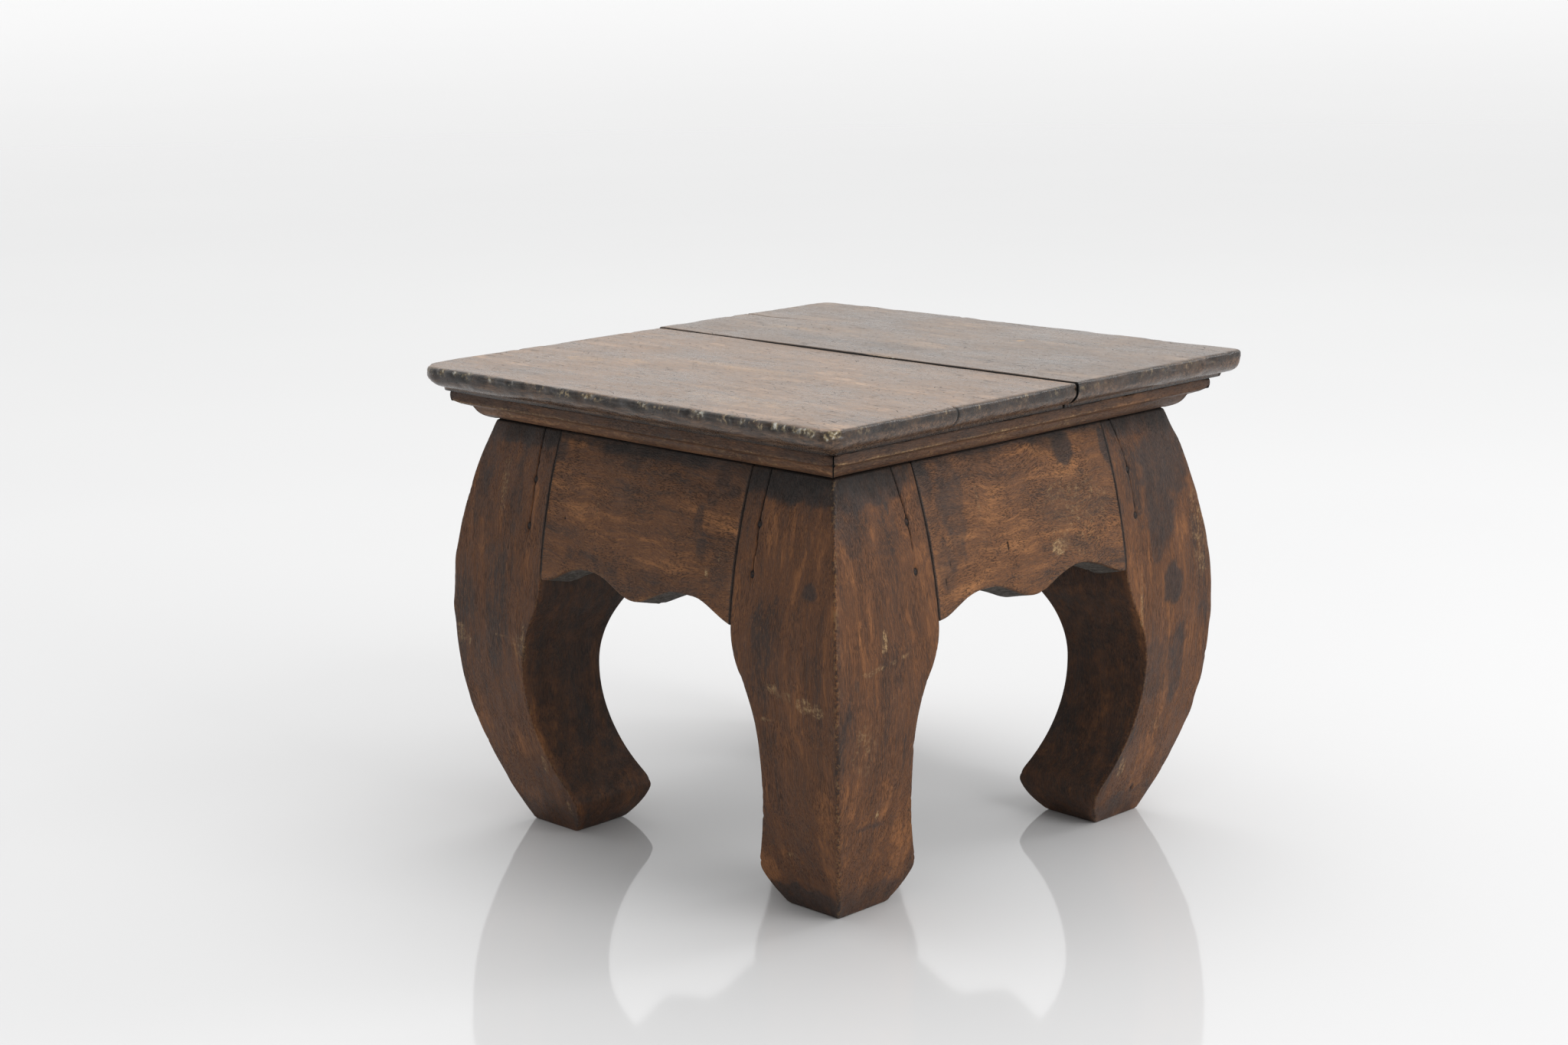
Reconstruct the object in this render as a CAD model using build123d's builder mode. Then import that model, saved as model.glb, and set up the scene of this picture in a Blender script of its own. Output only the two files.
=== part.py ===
from build123d import *
import math
import os

# A low square stool. Origin: middle of the footprint, on the floor. +Z is up, the grain of the seat
# runs along X, the front is -Y. All sizes are in millimetres.

# ---- seat ----
seat_height = 245.5
seat_length_x = 300.0
seat_length_y = 304.0
seat_thickness = 14.0
seat_corner_radius = 11.0
seat_under_radius = 9.5
seat_top_radius = 2.0
seam_y = 17.0
seam_gap = 0.8
board_step = 0.6

# ---- moulding frame under the seat ----
moulding_reach = 138.0
moulding_width = 36.0
moulding_height = 15.5
fascia_height = 6.0
cove_start_in = 8.5
cove_start_drop = 9.0
cove_mid_in = 13.7
cove_mid_drop = 11.6
moulding_foot_in = 16.7

# ---- legs: the side view is the same along X and Y, but stands further out along Y ----
frame_extra_y = 1.0
leg_top_reach = 121.0
leg_belly_reach = 140.0
leg_belly_height = 114.5
leg_foot_reach = 112.5
leg_block_inner = 69.0
leg_block_foot = 144.0
leg_hollow_reach = 86.0
leg_hollow_height = 84.5
leg_ogee_fraction = 0.59
foot_tip_reach = 68.0
foot_tip_height = 20.5
foot_heel_reach = 79.8
foot_bulge_reach = 70.7
foot_bulge_height = 11.5
foot_tip_radius = 1.5
foot_edge_radius = 1.2

# ---- aprons ----
apron_thickness = 17.0
apron_foot_height = 141.7
lobe_pitch = 35.0
lobe_depth = 9.6
tenon_length = 22.0
tenon_thickness = 7.0
tenon_setback = 5.5
tenon_low = 10.0
tenon_tall = 54.0

# ---- fixings ----
nail_from_joint = 12.0
nail_heights = (167.5, 190.5)
nail_length = 34.0
nail_root = 2.4
nail_point = 1.0
nail_head_radius = 1.7
nail_head_thick = 1.2
nail_head_proud = 0.2
frame_nail_reach = 112.0
frame_nail_along = 97.0
frame_nail_length = 38.0
peg_radius = 4.0
peg_length = 20.0
peg_in_seat = 8.0
peg_along = 45.0
dowel_radius = 3.0
dowel_length = 40.0
dowel_spacing = 90.0

# ---- sizes that follow from the ones above ----
seat_underside = seat_height - seat_thickness
leg_top = seat_underside - moulding_height
belly_rise = leg_top - leg_belly_height
belly_drop = leg_belly_reach - leg_top_reach
belly_radius = (belly_rise**2 + belly_drop**2) / (2 * belly_drop)

up = Vector(0, 0, 1)
sides = {
    "front": (Vector(0, -1, 0), frame_extra_y, 0.0),
    "back": (Vector(0, 1, 0), frame_extra_y, 0.0),
    "left": (Vector(-1, 0, 0), 0.0, frame_extra_y),
    "right": (Vector(1, 0, 0), 0.0, frame_extra_y),
}


def belly_reach(height):
    """Reach of the outer curve of legs and aprons at a height above the belly."""
    return leg_belly_reach - belly_radius + math.sqrt(belly_radius**2 - (height - leg_belly_height) ** 2)


apron_foot_reach = belly_reach(apron_foot_height)
apron_lean = math.atan2(apron_foot_reach - leg_top_reach, leg_top - apron_foot_height)


def section_plane(out):
    """Upright plane across a side: local x points out from the middle, local y is up."""
    return Plane(origin=(0, 0, 0), x_dir=out, z_dir=out.cross(up))


def leaning_plane(out, reach, along, height):
    """Plane lying on the leaning outer face of a side: local x runs along the side, z points out."""
    normal = out * math.cos(apron_lean) + up * math.sin(apron_lean)
    return Plane(origin=out * reach + up.cross(out) * along + up * height, x_dir=up.cross(out), z_dir=normal)


def make_nails(label, places, head_radius, length):
    """Square tapered nails with a round head; each place is a plane on the wood, its z pointing out."""
    with BuildPart() as nails:
        for place in places:
            with BuildSketch(place):
                Rectangle(nail_root, nail_root)
            with BuildSketch(place.offset(-length)):
                Rectangle(nail_point, nail_point)
            loft()
            with BuildSketch(place.offset(nail_head_proud - nail_head_thick)):
                Circle(head_radius)
            extrude(amount=nail_head_thick)
    nails.part.label = label
    return nails


def make_apron(label, out, shift, end_shift, nails):
    """Apron between two legs: curved outer face, waved lower edge and a bare-faced tenon at each end."""
    half_length = leg_block_inner + end_shift
    face = leaning_plane(out, apron_foot_reach + shift, 0, apron_foot_height)
    inner_in = apron_thickness / math.cos(apron_lean)
    inner_foot = apron_foot_reach + (apron_foot_height - leg_belly_height) * math.tan(apron_lean)
    with BuildPart() as apron:
        with BuildSketch(section_plane(out)):
            with BuildLine():
                TangentArc(
                    (leg_belly_reach + shift, leg_belly_height),
                    (leg_top_reach + shift, leg_top),
                    tangent=(0, 1),
                )
                Polyline(
                    (leg_top_reach + shift, leg_top),
                    (leg_top_reach + shift - inner_in, leg_top),
                    (inner_foot + shift - inner_in, leg_belly_height),
                    (leg_belly_reach + shift, leg_belly_height),
                )
            make_face()
        extrude(amount=half_length, both=True)
        with BuildSketch(face):
            with BuildLine():
                for side in (-1, 1):
                    for valley in (0, 2):
                        low = (side * valley * lobe_pitch, 0)
                        crown = (side * lobe_pitch, lobe_depth)
                        middle = ((low[0] + crown[0]) / 2, lobe_depth / 2)
                        run = side * (1 - valley)
                        TangentArc(low, middle, tangent=(run, 0))
                        TangentArc(crown, middle, tangent=(-run, 0))
                Polyline(
                    (-2 * lobe_pitch, 0),
                    (-2 * lobe_pitch, -2 * lobe_pitch),
                    (2 * lobe_pitch, -2 * lobe_pitch),
                    (2 * lobe_pitch, 0),
                )
            make_face()
        extrude(amount=2 * apron_thickness, both=True, mode=Mode.SUBTRACT)
        with BuildSketch(face.offset(-tenon_setback)):
            with Locations((0, tenon_low + tenon_tall / 2)):
                Rectangle(2 * (half_length + tenon_length), tenon_tall)
        extrude(amount=-tenon_thickness)
        for group in nails:
            add(group.part, mode=Mode.SUBTRACT)
    apron.part.label = label
    return apron


def make_leg(label, side_x, side_y, fitted):
    """Leg whose section is square at every height, with mortises and holes for what is fitted into it."""
    plane_x = Plane(origin=(0, 0, 0), x_dir=(side_x, 0, 0), z_dir=(0, -side_x, 0))
    plane_y = Plane(origin=(0, 0, 0), x_dir=(0, side_y, 0), z_dir=(side_y, 0, 0))
    views = ((plane_x, 0.0, Mode.ADD), (plane_y, frame_extra_y, Mode.INTERSECT))
    with BuildPart() as leg:
        for plane, shift, mode in views:
            block_top = (leg_block_inner + shift, leg_top)
            block_foot = (leg_block_inner + shift, leg_block_foot)
            hollow = (leg_hollow_reach + shift, leg_hollow_height)
            ogee = (
                hollow[0] + leg_ogee_fraction * (block_foot[0] - hollow[0]),
                hollow[1] + leg_ogee_fraction * (block_foot[1] - hollow[1]),
            )
            tip = (foot_tip_reach + shift, foot_tip_height)
            heel = (foot_heel_reach + shift, 0)
            toe = (leg_foot_reach + shift, 0)
            belly = (leg_belly_reach + shift, leg_belly_height)
            crest = (leg_top_reach + shift, leg_top)
            with BuildSketch(plane) as view:
                with BuildLine():
                    Line(block_top, block_foot)
                    TangentArc(block_foot, ogee, tangent=(0, -1))
                    TangentArc(hollow, ogee, tangent=(0, 1))
                    TangentArc(hollow, tip, tangent=(0, -1))
                    ThreePointArc(tip, (foot_bulge_reach + shift, foot_bulge_height), heel)
                    Line(heel, toe)
                    TangentArc(belly, toe, tangent=(0, -1))
                    TangentArc(belly, crest, tangent=(0, 1))
                    Line(crest, block_top)
                make_face()
                fillet(view.vertices().sort_by(Axis.X)[0], radius=foot_tip_radius)
                fillet(view.vertices().group_by(Axis.Y)[0], radius=foot_edge_radius)
            extrude(amount=seat_length_x, both=True, mode=mode)
        for piece in fitted:
            add(piece.part, mode=Mode.SUBTRACT)
    leg.part.label = label
    return leg


def make_moulding(label, out, shift, end_shift, fitted):
    """Mitred strip: an upright fascia over a rounded cove, down to the line of the legs."""
    reach = moulding_reach + shift
    inner = reach - moulding_width
    half_outer = moulding_reach + end_shift
    along = up.cross(out)
    with BuildPart() as moulding:
        with BuildSketch(section_plane(out)):
            cove_start = (reach - cove_start_in, seat_underside - cove_start_drop)
            with BuildLine():
                Polyline(
                    cove_start,
                    (reach, seat_underside - fascia_height),
                    (reach, seat_underside),
                    (inner, seat_underside),
                    (inner, leg_top),
                    (reach - moulding_foot_in, leg_top),
                )
                ThreePointArc(
                    cove_start,
                    (reach - cove_mid_in, seat_underside - cove_mid_drop),
                    (reach - moulding_foot_in, leg_top),
                )
            make_face()
        extrude(amount=half_outer, both=True)
        with BuildSketch(Plane(origin=(0, 0, leg_top), x_dir=along, z_dir=(0, 0, 1))):
            with BuildLine():
                Polyline(
                    (-half_outer, -reach),
                    (half_outer, -reach),
                    (half_outer - moulding_width, -inner),
                    (moulding_width - half_outer, -inner),
                    close=True,
                )
            make_face()
        extrude(amount=moulding_height, mode=Mode.INTERSECT)
        for piece in fitted:
            add(piece.part, mode=Mode.SUBTRACT)
    moulding.part.label = label
    return moulding


def make_board(label, low_y, high_y, top, fitted):
    """Part of the seat between two lines along X, with the seat's rounded edge all round the outside."""
    with BuildPart() as board:
        with BuildSketch(Plane.XY.offset(seat_underside)):
            RectangleRounded(seat_length_x, seat_length_y, seat_corner_radius)
        extrude(amount=top - seat_underside)
        fillet(board.faces().sort_by(Axis.Z)[0].edges(), radius=seat_under_radius)
        fillet(board.faces().sort_by(Axis.Z)[-1].edges(), radius=seat_top_radius)
        with BuildSketch(Plane.XY.offset(seat_underside)):
            with Locations((0, (low_y + high_y) / 2)):
                Rectangle(2 * seat_length_x, high_y - low_y)
        extrude(amount=seat_thickness, mode=Mode.INTERSECT)
        for piece in fitted:
            add(piece.part, mode=Mode.SUBTRACT)
    board.part.label = label
    return board


corners = {
    "front_left": (-1, -1, "front", "left"),
    "front_right": (1, -1, "front", "right"),
    "back_left": (-1, 1, "back", "left"),
    "back_right": (1, 1, "back", "right"),
}

# ---- nails through the leg faces into the apron tenons ----
leg_nails = {}
for corner, (side_x, side_y, side_a, side_b) in corners.items():
    places = []
    for side in (side_a, side_b):
        out, shift, end_shift = sides[side]
        toward_corner = up.cross(out).dot(Vector(side_x, side_y, 0))
        along = toward_corner * (leg_block_inner + end_shift + nail_from_joint)
        for height in nail_heights:
            places.append(leaning_plane(out, belly_reach(height) + shift, along, height))
    leg_nails[corner] = make_nails("nails_" + corner, places, nail_head_radius, nail_length)

# ---- nails down through the moulding into the leg tops, two at each corner ----
frame_nail_places = []
for side_x, side_y, _, _ in corners.values():
    for x, y in ((frame_nail_reach, frame_nail_along), (frame_nail_along, frame_nail_reach)):
        spot = (side_x * x, side_y * (y + frame_extra_y), seat_underside - nail_head_proud)
        frame_nail_places.append(Plane(origin=spot, z_dir=(0, 0, 1)))
frame_nails = make_nails("moulding_nails", frame_nail_places, nail_head_radius, frame_nail_length)

# ---- pegs between the moulding and the seat ----
with BuildPart() as pegs:
    with BuildSketch(Plane.XY.offset(seat_underside + peg_in_seat - peg_length)):
        for side_x, side_y in ((1, 1), (1, -1), (-1, 1), (-1, -1)):
            with Locations(
                (side_x * peg_along, side_y * (frame_nail_reach + frame_extra_y)),
                (side_x * frame_nail_reach, side_y * (peg_along + frame_extra_y)),
            ):
                Circle(peg_radius)
    extrude(amount=peg_length)
pegs.part.label = "seat_pegs"

# ---- dowels across the seam of the two seat boards ----
with BuildPart() as dowels:
    with BuildSketch(Plane.XZ.offset(-seam_y)):
        for x in (-dowel_spacing, 0, dowel_spacing):
            with Locations((x, seat_underside + seat_thickness / 2)):
                Circle(dowel_radius)
    extrude(amount=dowel_length / 2, both=True)
dowels.part.label = "seam_dowels"

# ---- aprons, mouldings, legs and seat boards ----
aprons = {}
mouldings = {}
for side, (out, shift, end_shift) in sides.items():
    nails = [leg_nails[corner] for corner in corners if side in corners[corner]]
    aprons[side] = make_apron("apron_" + side, out, shift, end_shift, nails)
    mouldings[side] = make_moulding("moulding_" + side, out, shift, end_shift, (frame_nails, pegs))

legs = {}
for corner, (side_x, side_y, side_a, side_b) in corners.items():
    fitted = (aprons[side_a], aprons[side_b], leg_nails[corner], frame_nails)
    legs[corner] = make_leg("leg_" + corner, side_x, side_y, fitted)

wide_board = make_board(
    "seat_board_wide", -seat_length_y, seam_y - seam_gap / 2, seat_height - board_step, (pegs, dowels)
)
narrow_board = make_board(
    "seat_board_narrow", seam_y + seam_gap / 2, seat_length_y, seat_height, (pegs, dowels)
)

# ---- write each piece ----
os.makedirs("parts", exist_ok=True)
pieces = [wide_board, narrow_board, dowels, pegs, frame_nails]
pieces += list(mouldings.values())
pieces += list(legs.values())
pieces += list(aprons.values())
pieces += list(leg_nails.values())
for piece in pieces:
    export_step(piece.part, f"parts/{piece.part.label}.step")
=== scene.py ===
import math

import bpy
import numpy as np
from mathutils import Matrix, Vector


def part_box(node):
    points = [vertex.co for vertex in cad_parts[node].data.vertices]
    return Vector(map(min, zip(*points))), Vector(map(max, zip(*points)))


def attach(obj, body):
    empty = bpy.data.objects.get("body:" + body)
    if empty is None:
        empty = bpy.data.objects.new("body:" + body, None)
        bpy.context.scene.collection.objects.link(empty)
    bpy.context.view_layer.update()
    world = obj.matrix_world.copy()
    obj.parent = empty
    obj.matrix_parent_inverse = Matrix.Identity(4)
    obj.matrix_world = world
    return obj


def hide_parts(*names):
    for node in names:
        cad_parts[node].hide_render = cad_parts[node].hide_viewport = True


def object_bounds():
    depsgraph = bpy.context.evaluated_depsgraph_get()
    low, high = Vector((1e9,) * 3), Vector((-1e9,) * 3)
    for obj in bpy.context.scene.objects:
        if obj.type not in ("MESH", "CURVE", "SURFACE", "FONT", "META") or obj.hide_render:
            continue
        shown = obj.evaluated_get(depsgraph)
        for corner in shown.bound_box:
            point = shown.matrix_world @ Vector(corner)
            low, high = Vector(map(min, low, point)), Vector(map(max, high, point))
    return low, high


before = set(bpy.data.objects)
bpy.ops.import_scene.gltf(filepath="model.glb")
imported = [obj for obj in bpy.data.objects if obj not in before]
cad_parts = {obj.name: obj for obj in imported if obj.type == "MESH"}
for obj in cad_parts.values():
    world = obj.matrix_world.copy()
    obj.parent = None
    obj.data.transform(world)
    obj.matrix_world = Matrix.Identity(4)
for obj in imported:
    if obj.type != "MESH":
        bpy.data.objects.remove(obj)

cad_low, cad_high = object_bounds()

# A low square stool. Everything is in metres, in the frame's own axes: +Z up, -Y the front, the grain
# of the seat along X. Sizes come from the frame where it has them, and repeat the CAD's where not.
MM = 0.001

# ---------------------------------------------------------------- sizes from the frame
SEAT_HALF_X = cad_high.x
SEAT_HALF_Y = cad_high.y
SEAT_TOP = cad_high.z
BOARD_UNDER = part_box("seat_board_wide")[0].z
WIDE_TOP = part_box("seat_board_wide")[1].z
SEAM_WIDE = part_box("seat_board_wide")[1].y
SEAM_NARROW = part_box("seat_board_narrow")[0].y
LEG_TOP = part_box("leg_front_right")[1].z
BELLY_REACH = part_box("leg_front_right")[1].x
EXTRA_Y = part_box("leg_back_right")[1].y - BELLY_REACH
MOULDING_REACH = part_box("moulding_right")[1].x
MOULDING_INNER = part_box("moulding_right")[0].x

# ---------------------------------------------------------------- sizes the CAD outlines use
CORNER_BLOCK = 16 * MM
OVOLO_RADIUS = 9.5 * MM
CREST_REACH = 121 * MM
BELLY_HEIGHT = 114.5 * MM
TOE_REACH = 112.5 * MM
BLOCK_INNER = 69 * MM
BLOCK_FOOT = 144 * MM
HOLLOW_REACH = 86 * MM
HOLLOW_HEIGHT = 84.5 * MM
OGEE = 0.59
TIP_REACH = 67.7 * MM
TIP_HEIGHT = 20.5 * MM
HEEL_REACH = 78.6 * MM
SOLE_BEND = 1.8
TIP_ROUND = 1.1 * MM
APRON_FOOT = 141.7 * MM
APRON_THICK = 17 * MM
LOBE_PITCH = 35 * MM
LOBE_DEPTH = 9.6 * MM
NAIL_REACH = 81 * MM
NAIL_HEIGHTS = (167.5 * MM, 190.5 * MM)
FASCIA_DROP = 6 * MM
COVE_IN = 8.5 * MM
COVE_DROP = 9 * MM
MOULDING_FOOT_IN = 16.7 * MM
MITRE_ROUND = 1.3 * MM
EDGE_FILLET = 1.9 * MM
FILLET_IN = 8.75 * MM

# Marks on the outer faces, in mm: (place along the face, height, half width, half height, strength).
# On a leg the place is counted outwards from the middle of the stool, on an apron along +X or +Y.
STAINS = {
    ("back_right", 1): [
        (105, 212.5, 40, 8, 0.7), (112, 191.5, 22, 20, 0.8), (102, 167.5, 13, 18, 0.75),
        (95, 149.5, 4.5, 12, 0.7), (107.8, 128.2, 7.5, 11.5, 1.0), (113, 83.5, 6, 24, 0.65),
        (99, 83.5, 16, 18, 0.5), (132, 108.5, 6, 7, 0.5), (98, 7.2, 34, 9, 0.5),
        (99.3, 16.4, 1.4, 2.6, 1.0),
    ],
    ("front_right", 1): [
        (108, 208.5, 32, 8, 0.8), (121, 194.5, 9, 13, 0.55), (132.7, 110.4, 1.8, 7, 0.7),
        (127.4, 124.2, 1.4, 4, 0.6), (93.4, 198.5, 1.1, 3, 0.9), (110, 49.7, 12, 1.8, 0.5),
        (105, 7.2, 34, 9, 0.55), (137, 121.5, 2.5, 50, 0.4), (100, 179.5, 10, 1.8, 0.35),
        (91, 187.5, 2, 9, 0.35),
    ],
    ("front_right", 0): [
        (100, 209.5, 34, 7, 0.8), (119.2, 165.1, 4.5, 4.5, 0.75), (100, 5.1, 36, 9, 0.8),
        (88, 151.5, 3, 20, 0.3),
    ],
    ("front_left", 0): [
        (100, 211.5, 40, 6, 0.75), (93.5, 184.5, 4.5, 24, 0.5), (121, 187.5, 7, 28, 0.5),
        (112, 161.5, 6, 14, 0.4), (109.5, 96.5, 4, 14, 0.4), (98, 7.2, 34, 9, 0.45),
    ],
    "right": [
        (38, 207.5, 8, 8, 0.9), (67.5, 205.5, 3.5, 9, 0.85), (-50, 193.5, 9, 26, 0.55),
        (-60, 166.5, 7, 14, 0.5), (44.7, 194.5, 5, 2.5, 0.5), (-66, 207.5, 6, 9, 0.6),
        (0, 215.5, 80, 2.2, 0.7),
    ],
    "front": [
        (48, 198.5, 4.5, 5, 0.45), (41, 186.5, 3.5, 8, 0.55), (45, 175.5, 3.5, 7, 0.5),
        (59, 207.5, 13, 8, 0.65), (59, 166.5, 7, 10, 0.4), (-66, 207.5, 7, 7, 0.65),
        (0, 213.5, 80, 3.5, 0.7), (0, 152, 62, 9, 0.4),
    ],
}
RUBS = {
    ("back_right", 1): [
        (83.5, 32.8, 3, 6, 0.6), (104.6, 53, 5, 4, 0.35), (131, 151.5, 6, 26, 0.4),
        (81.5, 117.5, 1.1, 22, 0.6),
    ],
    ("front_right", 1): [
        (108.1, 139.4, 2.2, 5.5, 0.9), (119.5, 126.5, 3, 1.6, 0.9), (112, 127.8, 4, 1, 0.6),
        (103, 129.1, 4, 1, 0.55), (95, 130.4, 3, 1.2, 0.7), (107.7, 54.1, 0.9, 3, 0.8),
        (121, 92.5, 10, 14, 0.25),
    ],
    ("front_right", 0): [
        (97, 116.5, 5, 2.5, 0.55), (106, 114, 6, 3, 0.5), (118, 112, 6, 3.5, 0.65),
        (127, 111, 4, 3.5, 0.65), (93, 100.5, 7, 0.7, 0.6), (95.3, 31.4, 5, 1.2, 0.45),
    ],
    ("front_left", 0): [
        (103.7, 183.5, 3, 18, 0.45), (135, 103, 5, 7, 0.5), (128.6, 100.5, 3, 4, 0.4),
        (99.5, 107.7, 7, 0.9, 0.6), (88, 102.5, 5, 8, 0.4), (83.3, 105.5, 1.3, 16, 0.7),
        (83.3, 39.4, 2.5, 7, 0.6), (75, 14, 1.6, 6, 0.6),
    ],
    "right": [(38, 178, 26, 22, 0.3), (20.4, 162, 5.5, 4, 0.8), (-32, 191.5, 1, 18, 0.3)],
    "front": [(50.9, 163.9, 1.5, 2.8, 0.9), (57.8, 172.2, 1, 2.2, 0.8), (-31.6, 183.3, 0.7, 4, 0.5)],
}
GOUGES = {
    "right": [(-16, 168.5, 0.55, 2.4, 0.7), (-62.3, 159.1, 0.5, 2, 0.5), (-57.7, 166.5, 0.5, 1.4, 0.5)],
    "front": [(-55, 174.9, 0.55, 1.4, 0.7)],
    ("back_right", 1): [(99.3, 16.4, 0.7, 1.6, 0.8)],
}

# The leg and face whose drying crack leans further than the others.
LEANING_CRACK = ("back_right", 1)

# Wear has rounded the seat's four corners unevenly.
CORNER_RADII = {(-1, -1): 16 * MM, (1, -1): 9 * MM, (-1, 1): 11 * MM, (1, 1): 5.5 * MM}

# Each side: the direction it faces, and how much further the seat reaches out and along there.
SIDES = {
    "front": ((0, -1), EXTRA_Y, 0.0),
    "back": ((0, 1), EXTRA_Y, 0.0),
    "left": ((-1, 0), 0.0, EXTRA_Y),
    "right": ((1, 0), 0.0, EXTRA_Y),
}
CORNERS = {
    "front_left": (-1, -1),
    "front_right": (1, -1),
    "back_left": (-1, 1),
    "back_right": (1, 1),
}


# ---------------------------------------------------------------- smooth noise for shapes
def lattice(ix, iy, iz, seed):
    """A repeatable random number from -1 to 1 at each whole-number point."""
    h = ix * 374761393 + iy * 668265263 + iz * 1274126177 + seed * 974634777
    h = (h ^ (h >> 13)) * 1103515245 & 0x7FFFFFFF
    h = (h ^ (h >> 15)) * 12345701 & 0x7FFFFFFF
    return ((h >> 7) & 0xFFFF) / 32767.5 - 1.0


def noise(points, size, seed=0):
    """Smooth noise from -1 to 1; size is the size of its features, one number or one for each axis."""
    p = np.asarray(points) / size
    cell = np.floor(p).astype(np.int64)
    f = p - cell
    f = f * f * f * (f * (f * 6 - 15) + 10)
    total = np.zeros(len(p))
    for dx in (0, 1):
        for dy in (0, 1):
            for dz in (0, 1):
                weight = np.abs(1 - dx - f[:, 0]) * np.abs(1 - dy - f[:, 1]) * np.abs(1 - dz - f[:, 2])
                total += weight * lattice(cell[:, 0] + dx, cell[:, 1] + dy, cell[:, 2] + dz, seed)
    return total


def rough_noise(points, size, seed=0, octaves=3):
    """Noise with finer noise added on top."""
    total = np.zeros(len(points))
    for k in range(octaves):
        total += noise(points, np.asarray(size) / 2**k, seed + 17 * k) / 2**k
    return total / 1.6


def step(low, high, x):
    """0 below low, 1 above high, smooth between; low may be the larger."""
    t = np.clip((x - low) / (high - low), 0, 1)
    return t * t * (3 - 2 * t)


def fade(low, high, x):
    """step() with its limits in mm."""
    return step(low * MM, high * MM, x)


def bell(distance, width):
    """1 at no distance, and nearly 0 at twice the width, in mm."""
    return np.exp(-((distance / (width * MM)) ** 2))


def chipping(points, size, low, high, seed, octaves=3):
    """A mask of chips and dents whose usual size is given in mm, one number or one for each axis."""
    return step(low, high, rough_noise(points, np.array(size) * MM, seed, octaves))


def blots(along, height, marks, seed):
    """A mask of soft ragged spots from a list of marks."""
    total = np.zeros(len(along))
    ragged = 0.3 * rough_noise(np.stack([along, height, along * 0], 1), 7 * MM, seed)
    for place, level, half_along, half_height, strength in marks:
        off = np.hypot((along / MM - place) / half_along, (height / MM - level) / half_height)
        total = np.maximum(total, strength * step(1.25, 0.75, off + ragged))
    return total


# ---------------------------------------------------------------- the curves of legs and aprons
def arc_radius(tangent_at, end):
    """Radius of the arc that is upright at one point and passes through the other."""
    across, rise = end[0] - tangent_at[0], end[1] - tangent_at[1]
    return (across**2 + rise**2) / (2 * abs(across))


def arc_reach(tangent_at, end, z):
    """Reach of that arc at height z."""
    radius = arc_radius(tangent_at, end)
    bulge = radius - np.sqrt(np.maximum(radius**2 - (z - tangent_at[1]) ** 2, 0))
    return tangent_at[0] + math.copysign(1, end[0] - tangent_at[0]) * bulge


def outer_reach(z):
    """How far out a leg's outer faces are at height z."""
    belly = (BELLY_REACH, BELLY_HEIGHT)
    above = arc_reach(belly, (CREST_REACH, LEG_TOP), z)
    return np.where(z > BELLY_HEIGHT, above, arc_reach(belly, (TOE_REACH, 0), z))


def inner_reach(z):
    """How far out a leg's inner faces are at height z: block, ogee, hollow and sole."""
    hollow = (HOLLOW_REACH, HOLLOW_HEIGHT)
    block = (BLOCK_INNER, BLOCK_FOOT)
    ogee = tuple(h + OGEE * (b - h) for h, b in zip(hollow, block))
    out = np.full(np.shape(z), BLOCK_INNER)
    out = np.where(z < BLOCK_FOOT, arc_reach(block, ogee, z), out)
    out = np.where(z < ogee[1], arc_reach(hollow, ogee, z), out)
    out = np.where(z < HOLLOW_HEIGHT, arc_reach(hollow, (TIP_REACH, TIP_HEIGHT), z), out)
    sole = TIP_REACH + (HEEL_REACH - TIP_REACH) * (1 - np.clip(z / TIP_HEIGHT, 0, 1)) ** SOLE_BEND
    rounded = TIP_ROUND * np.maximum(0, 1 - np.abs(z - TIP_HEIGHT) / (4 * TIP_ROUND)) ** 2
    return np.where(z < TIP_HEIGHT, sole, out) + rounded


# ---------------------------------------------------------------- mesh helpers
def spaced(*runs):
    """Joins runs of (start, end, step) into one list of rising places."""
    places = []
    for start, end, pitch in runs:
        count = max(1, round((end - start) / pitch))
        places += [start + (end - start) * k / count for k in range(count)]
    return np.array(places + [runs[-1][1]])


def make_piece(name, vertices, faces, replaced):
    mesh = bpy.data.meshes.new(name)
    mesh.from_pydata(vertices.tolist(), [], faces)
    mesh.validate()
    if signed_volume(mesh) < 0:
        mesh.flip_normals()
    mesh.shade_smooth()
    piece = bpy.data.objects.new(name, mesh)
    bpy.context.scene.collection.objects.link(piece)
    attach(piece, "root")
    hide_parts(replaced)
    return piece


def signed_volume(mesh):
    mesh.calc_loop_triangles()
    corners = np.zeros(len(mesh.loop_triangles) * 3, np.int32)
    mesh.loop_triangles.foreach_get("vertices", corners)
    co = points_of(mesh)[corners].reshape(-1, 3, 3)
    return float(np.einsum("ij,ij->i", co[:, 0], np.cross(co[:, 1], co[:, 2])).sum())


def points_of(mesh):
    co = np.zeros(len(mesh.vertices) * 3)
    mesh.vertices.foreach_get("co", co)
    return co.reshape(-1, 3)


def normals_of(mesh):
    no = np.zeros(len(mesh.vertices) * 3, np.float32)
    mesh.vertices.foreach_get("normal", no)
    return no.reshape(-1, 3).astype(float)


def push(piece, amount):
    """Moves each vertex along its normal, staying inside the CAD box."""
    moved = points_of(piece.data) + normals_of(piece.data) * np.asarray(amount)[:, None]
    moved = np.clip(moved, np.array(cad_low), np.array(cad_high))
    piece.data.vertices.foreach_set("co", moved.ravel())
    piece.data.update()


def paint(piece, **masks):
    """Stores a mask from 0 to 1 for each vertex, which the materials read by name."""
    for name, values in masks.items():
        attribute = piece.data.attributes.new(name, "FLOAT", "POINT")
        attribute.data.foreach_set("value", np.clip(values, 0, 1).astype(np.float32))


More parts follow.
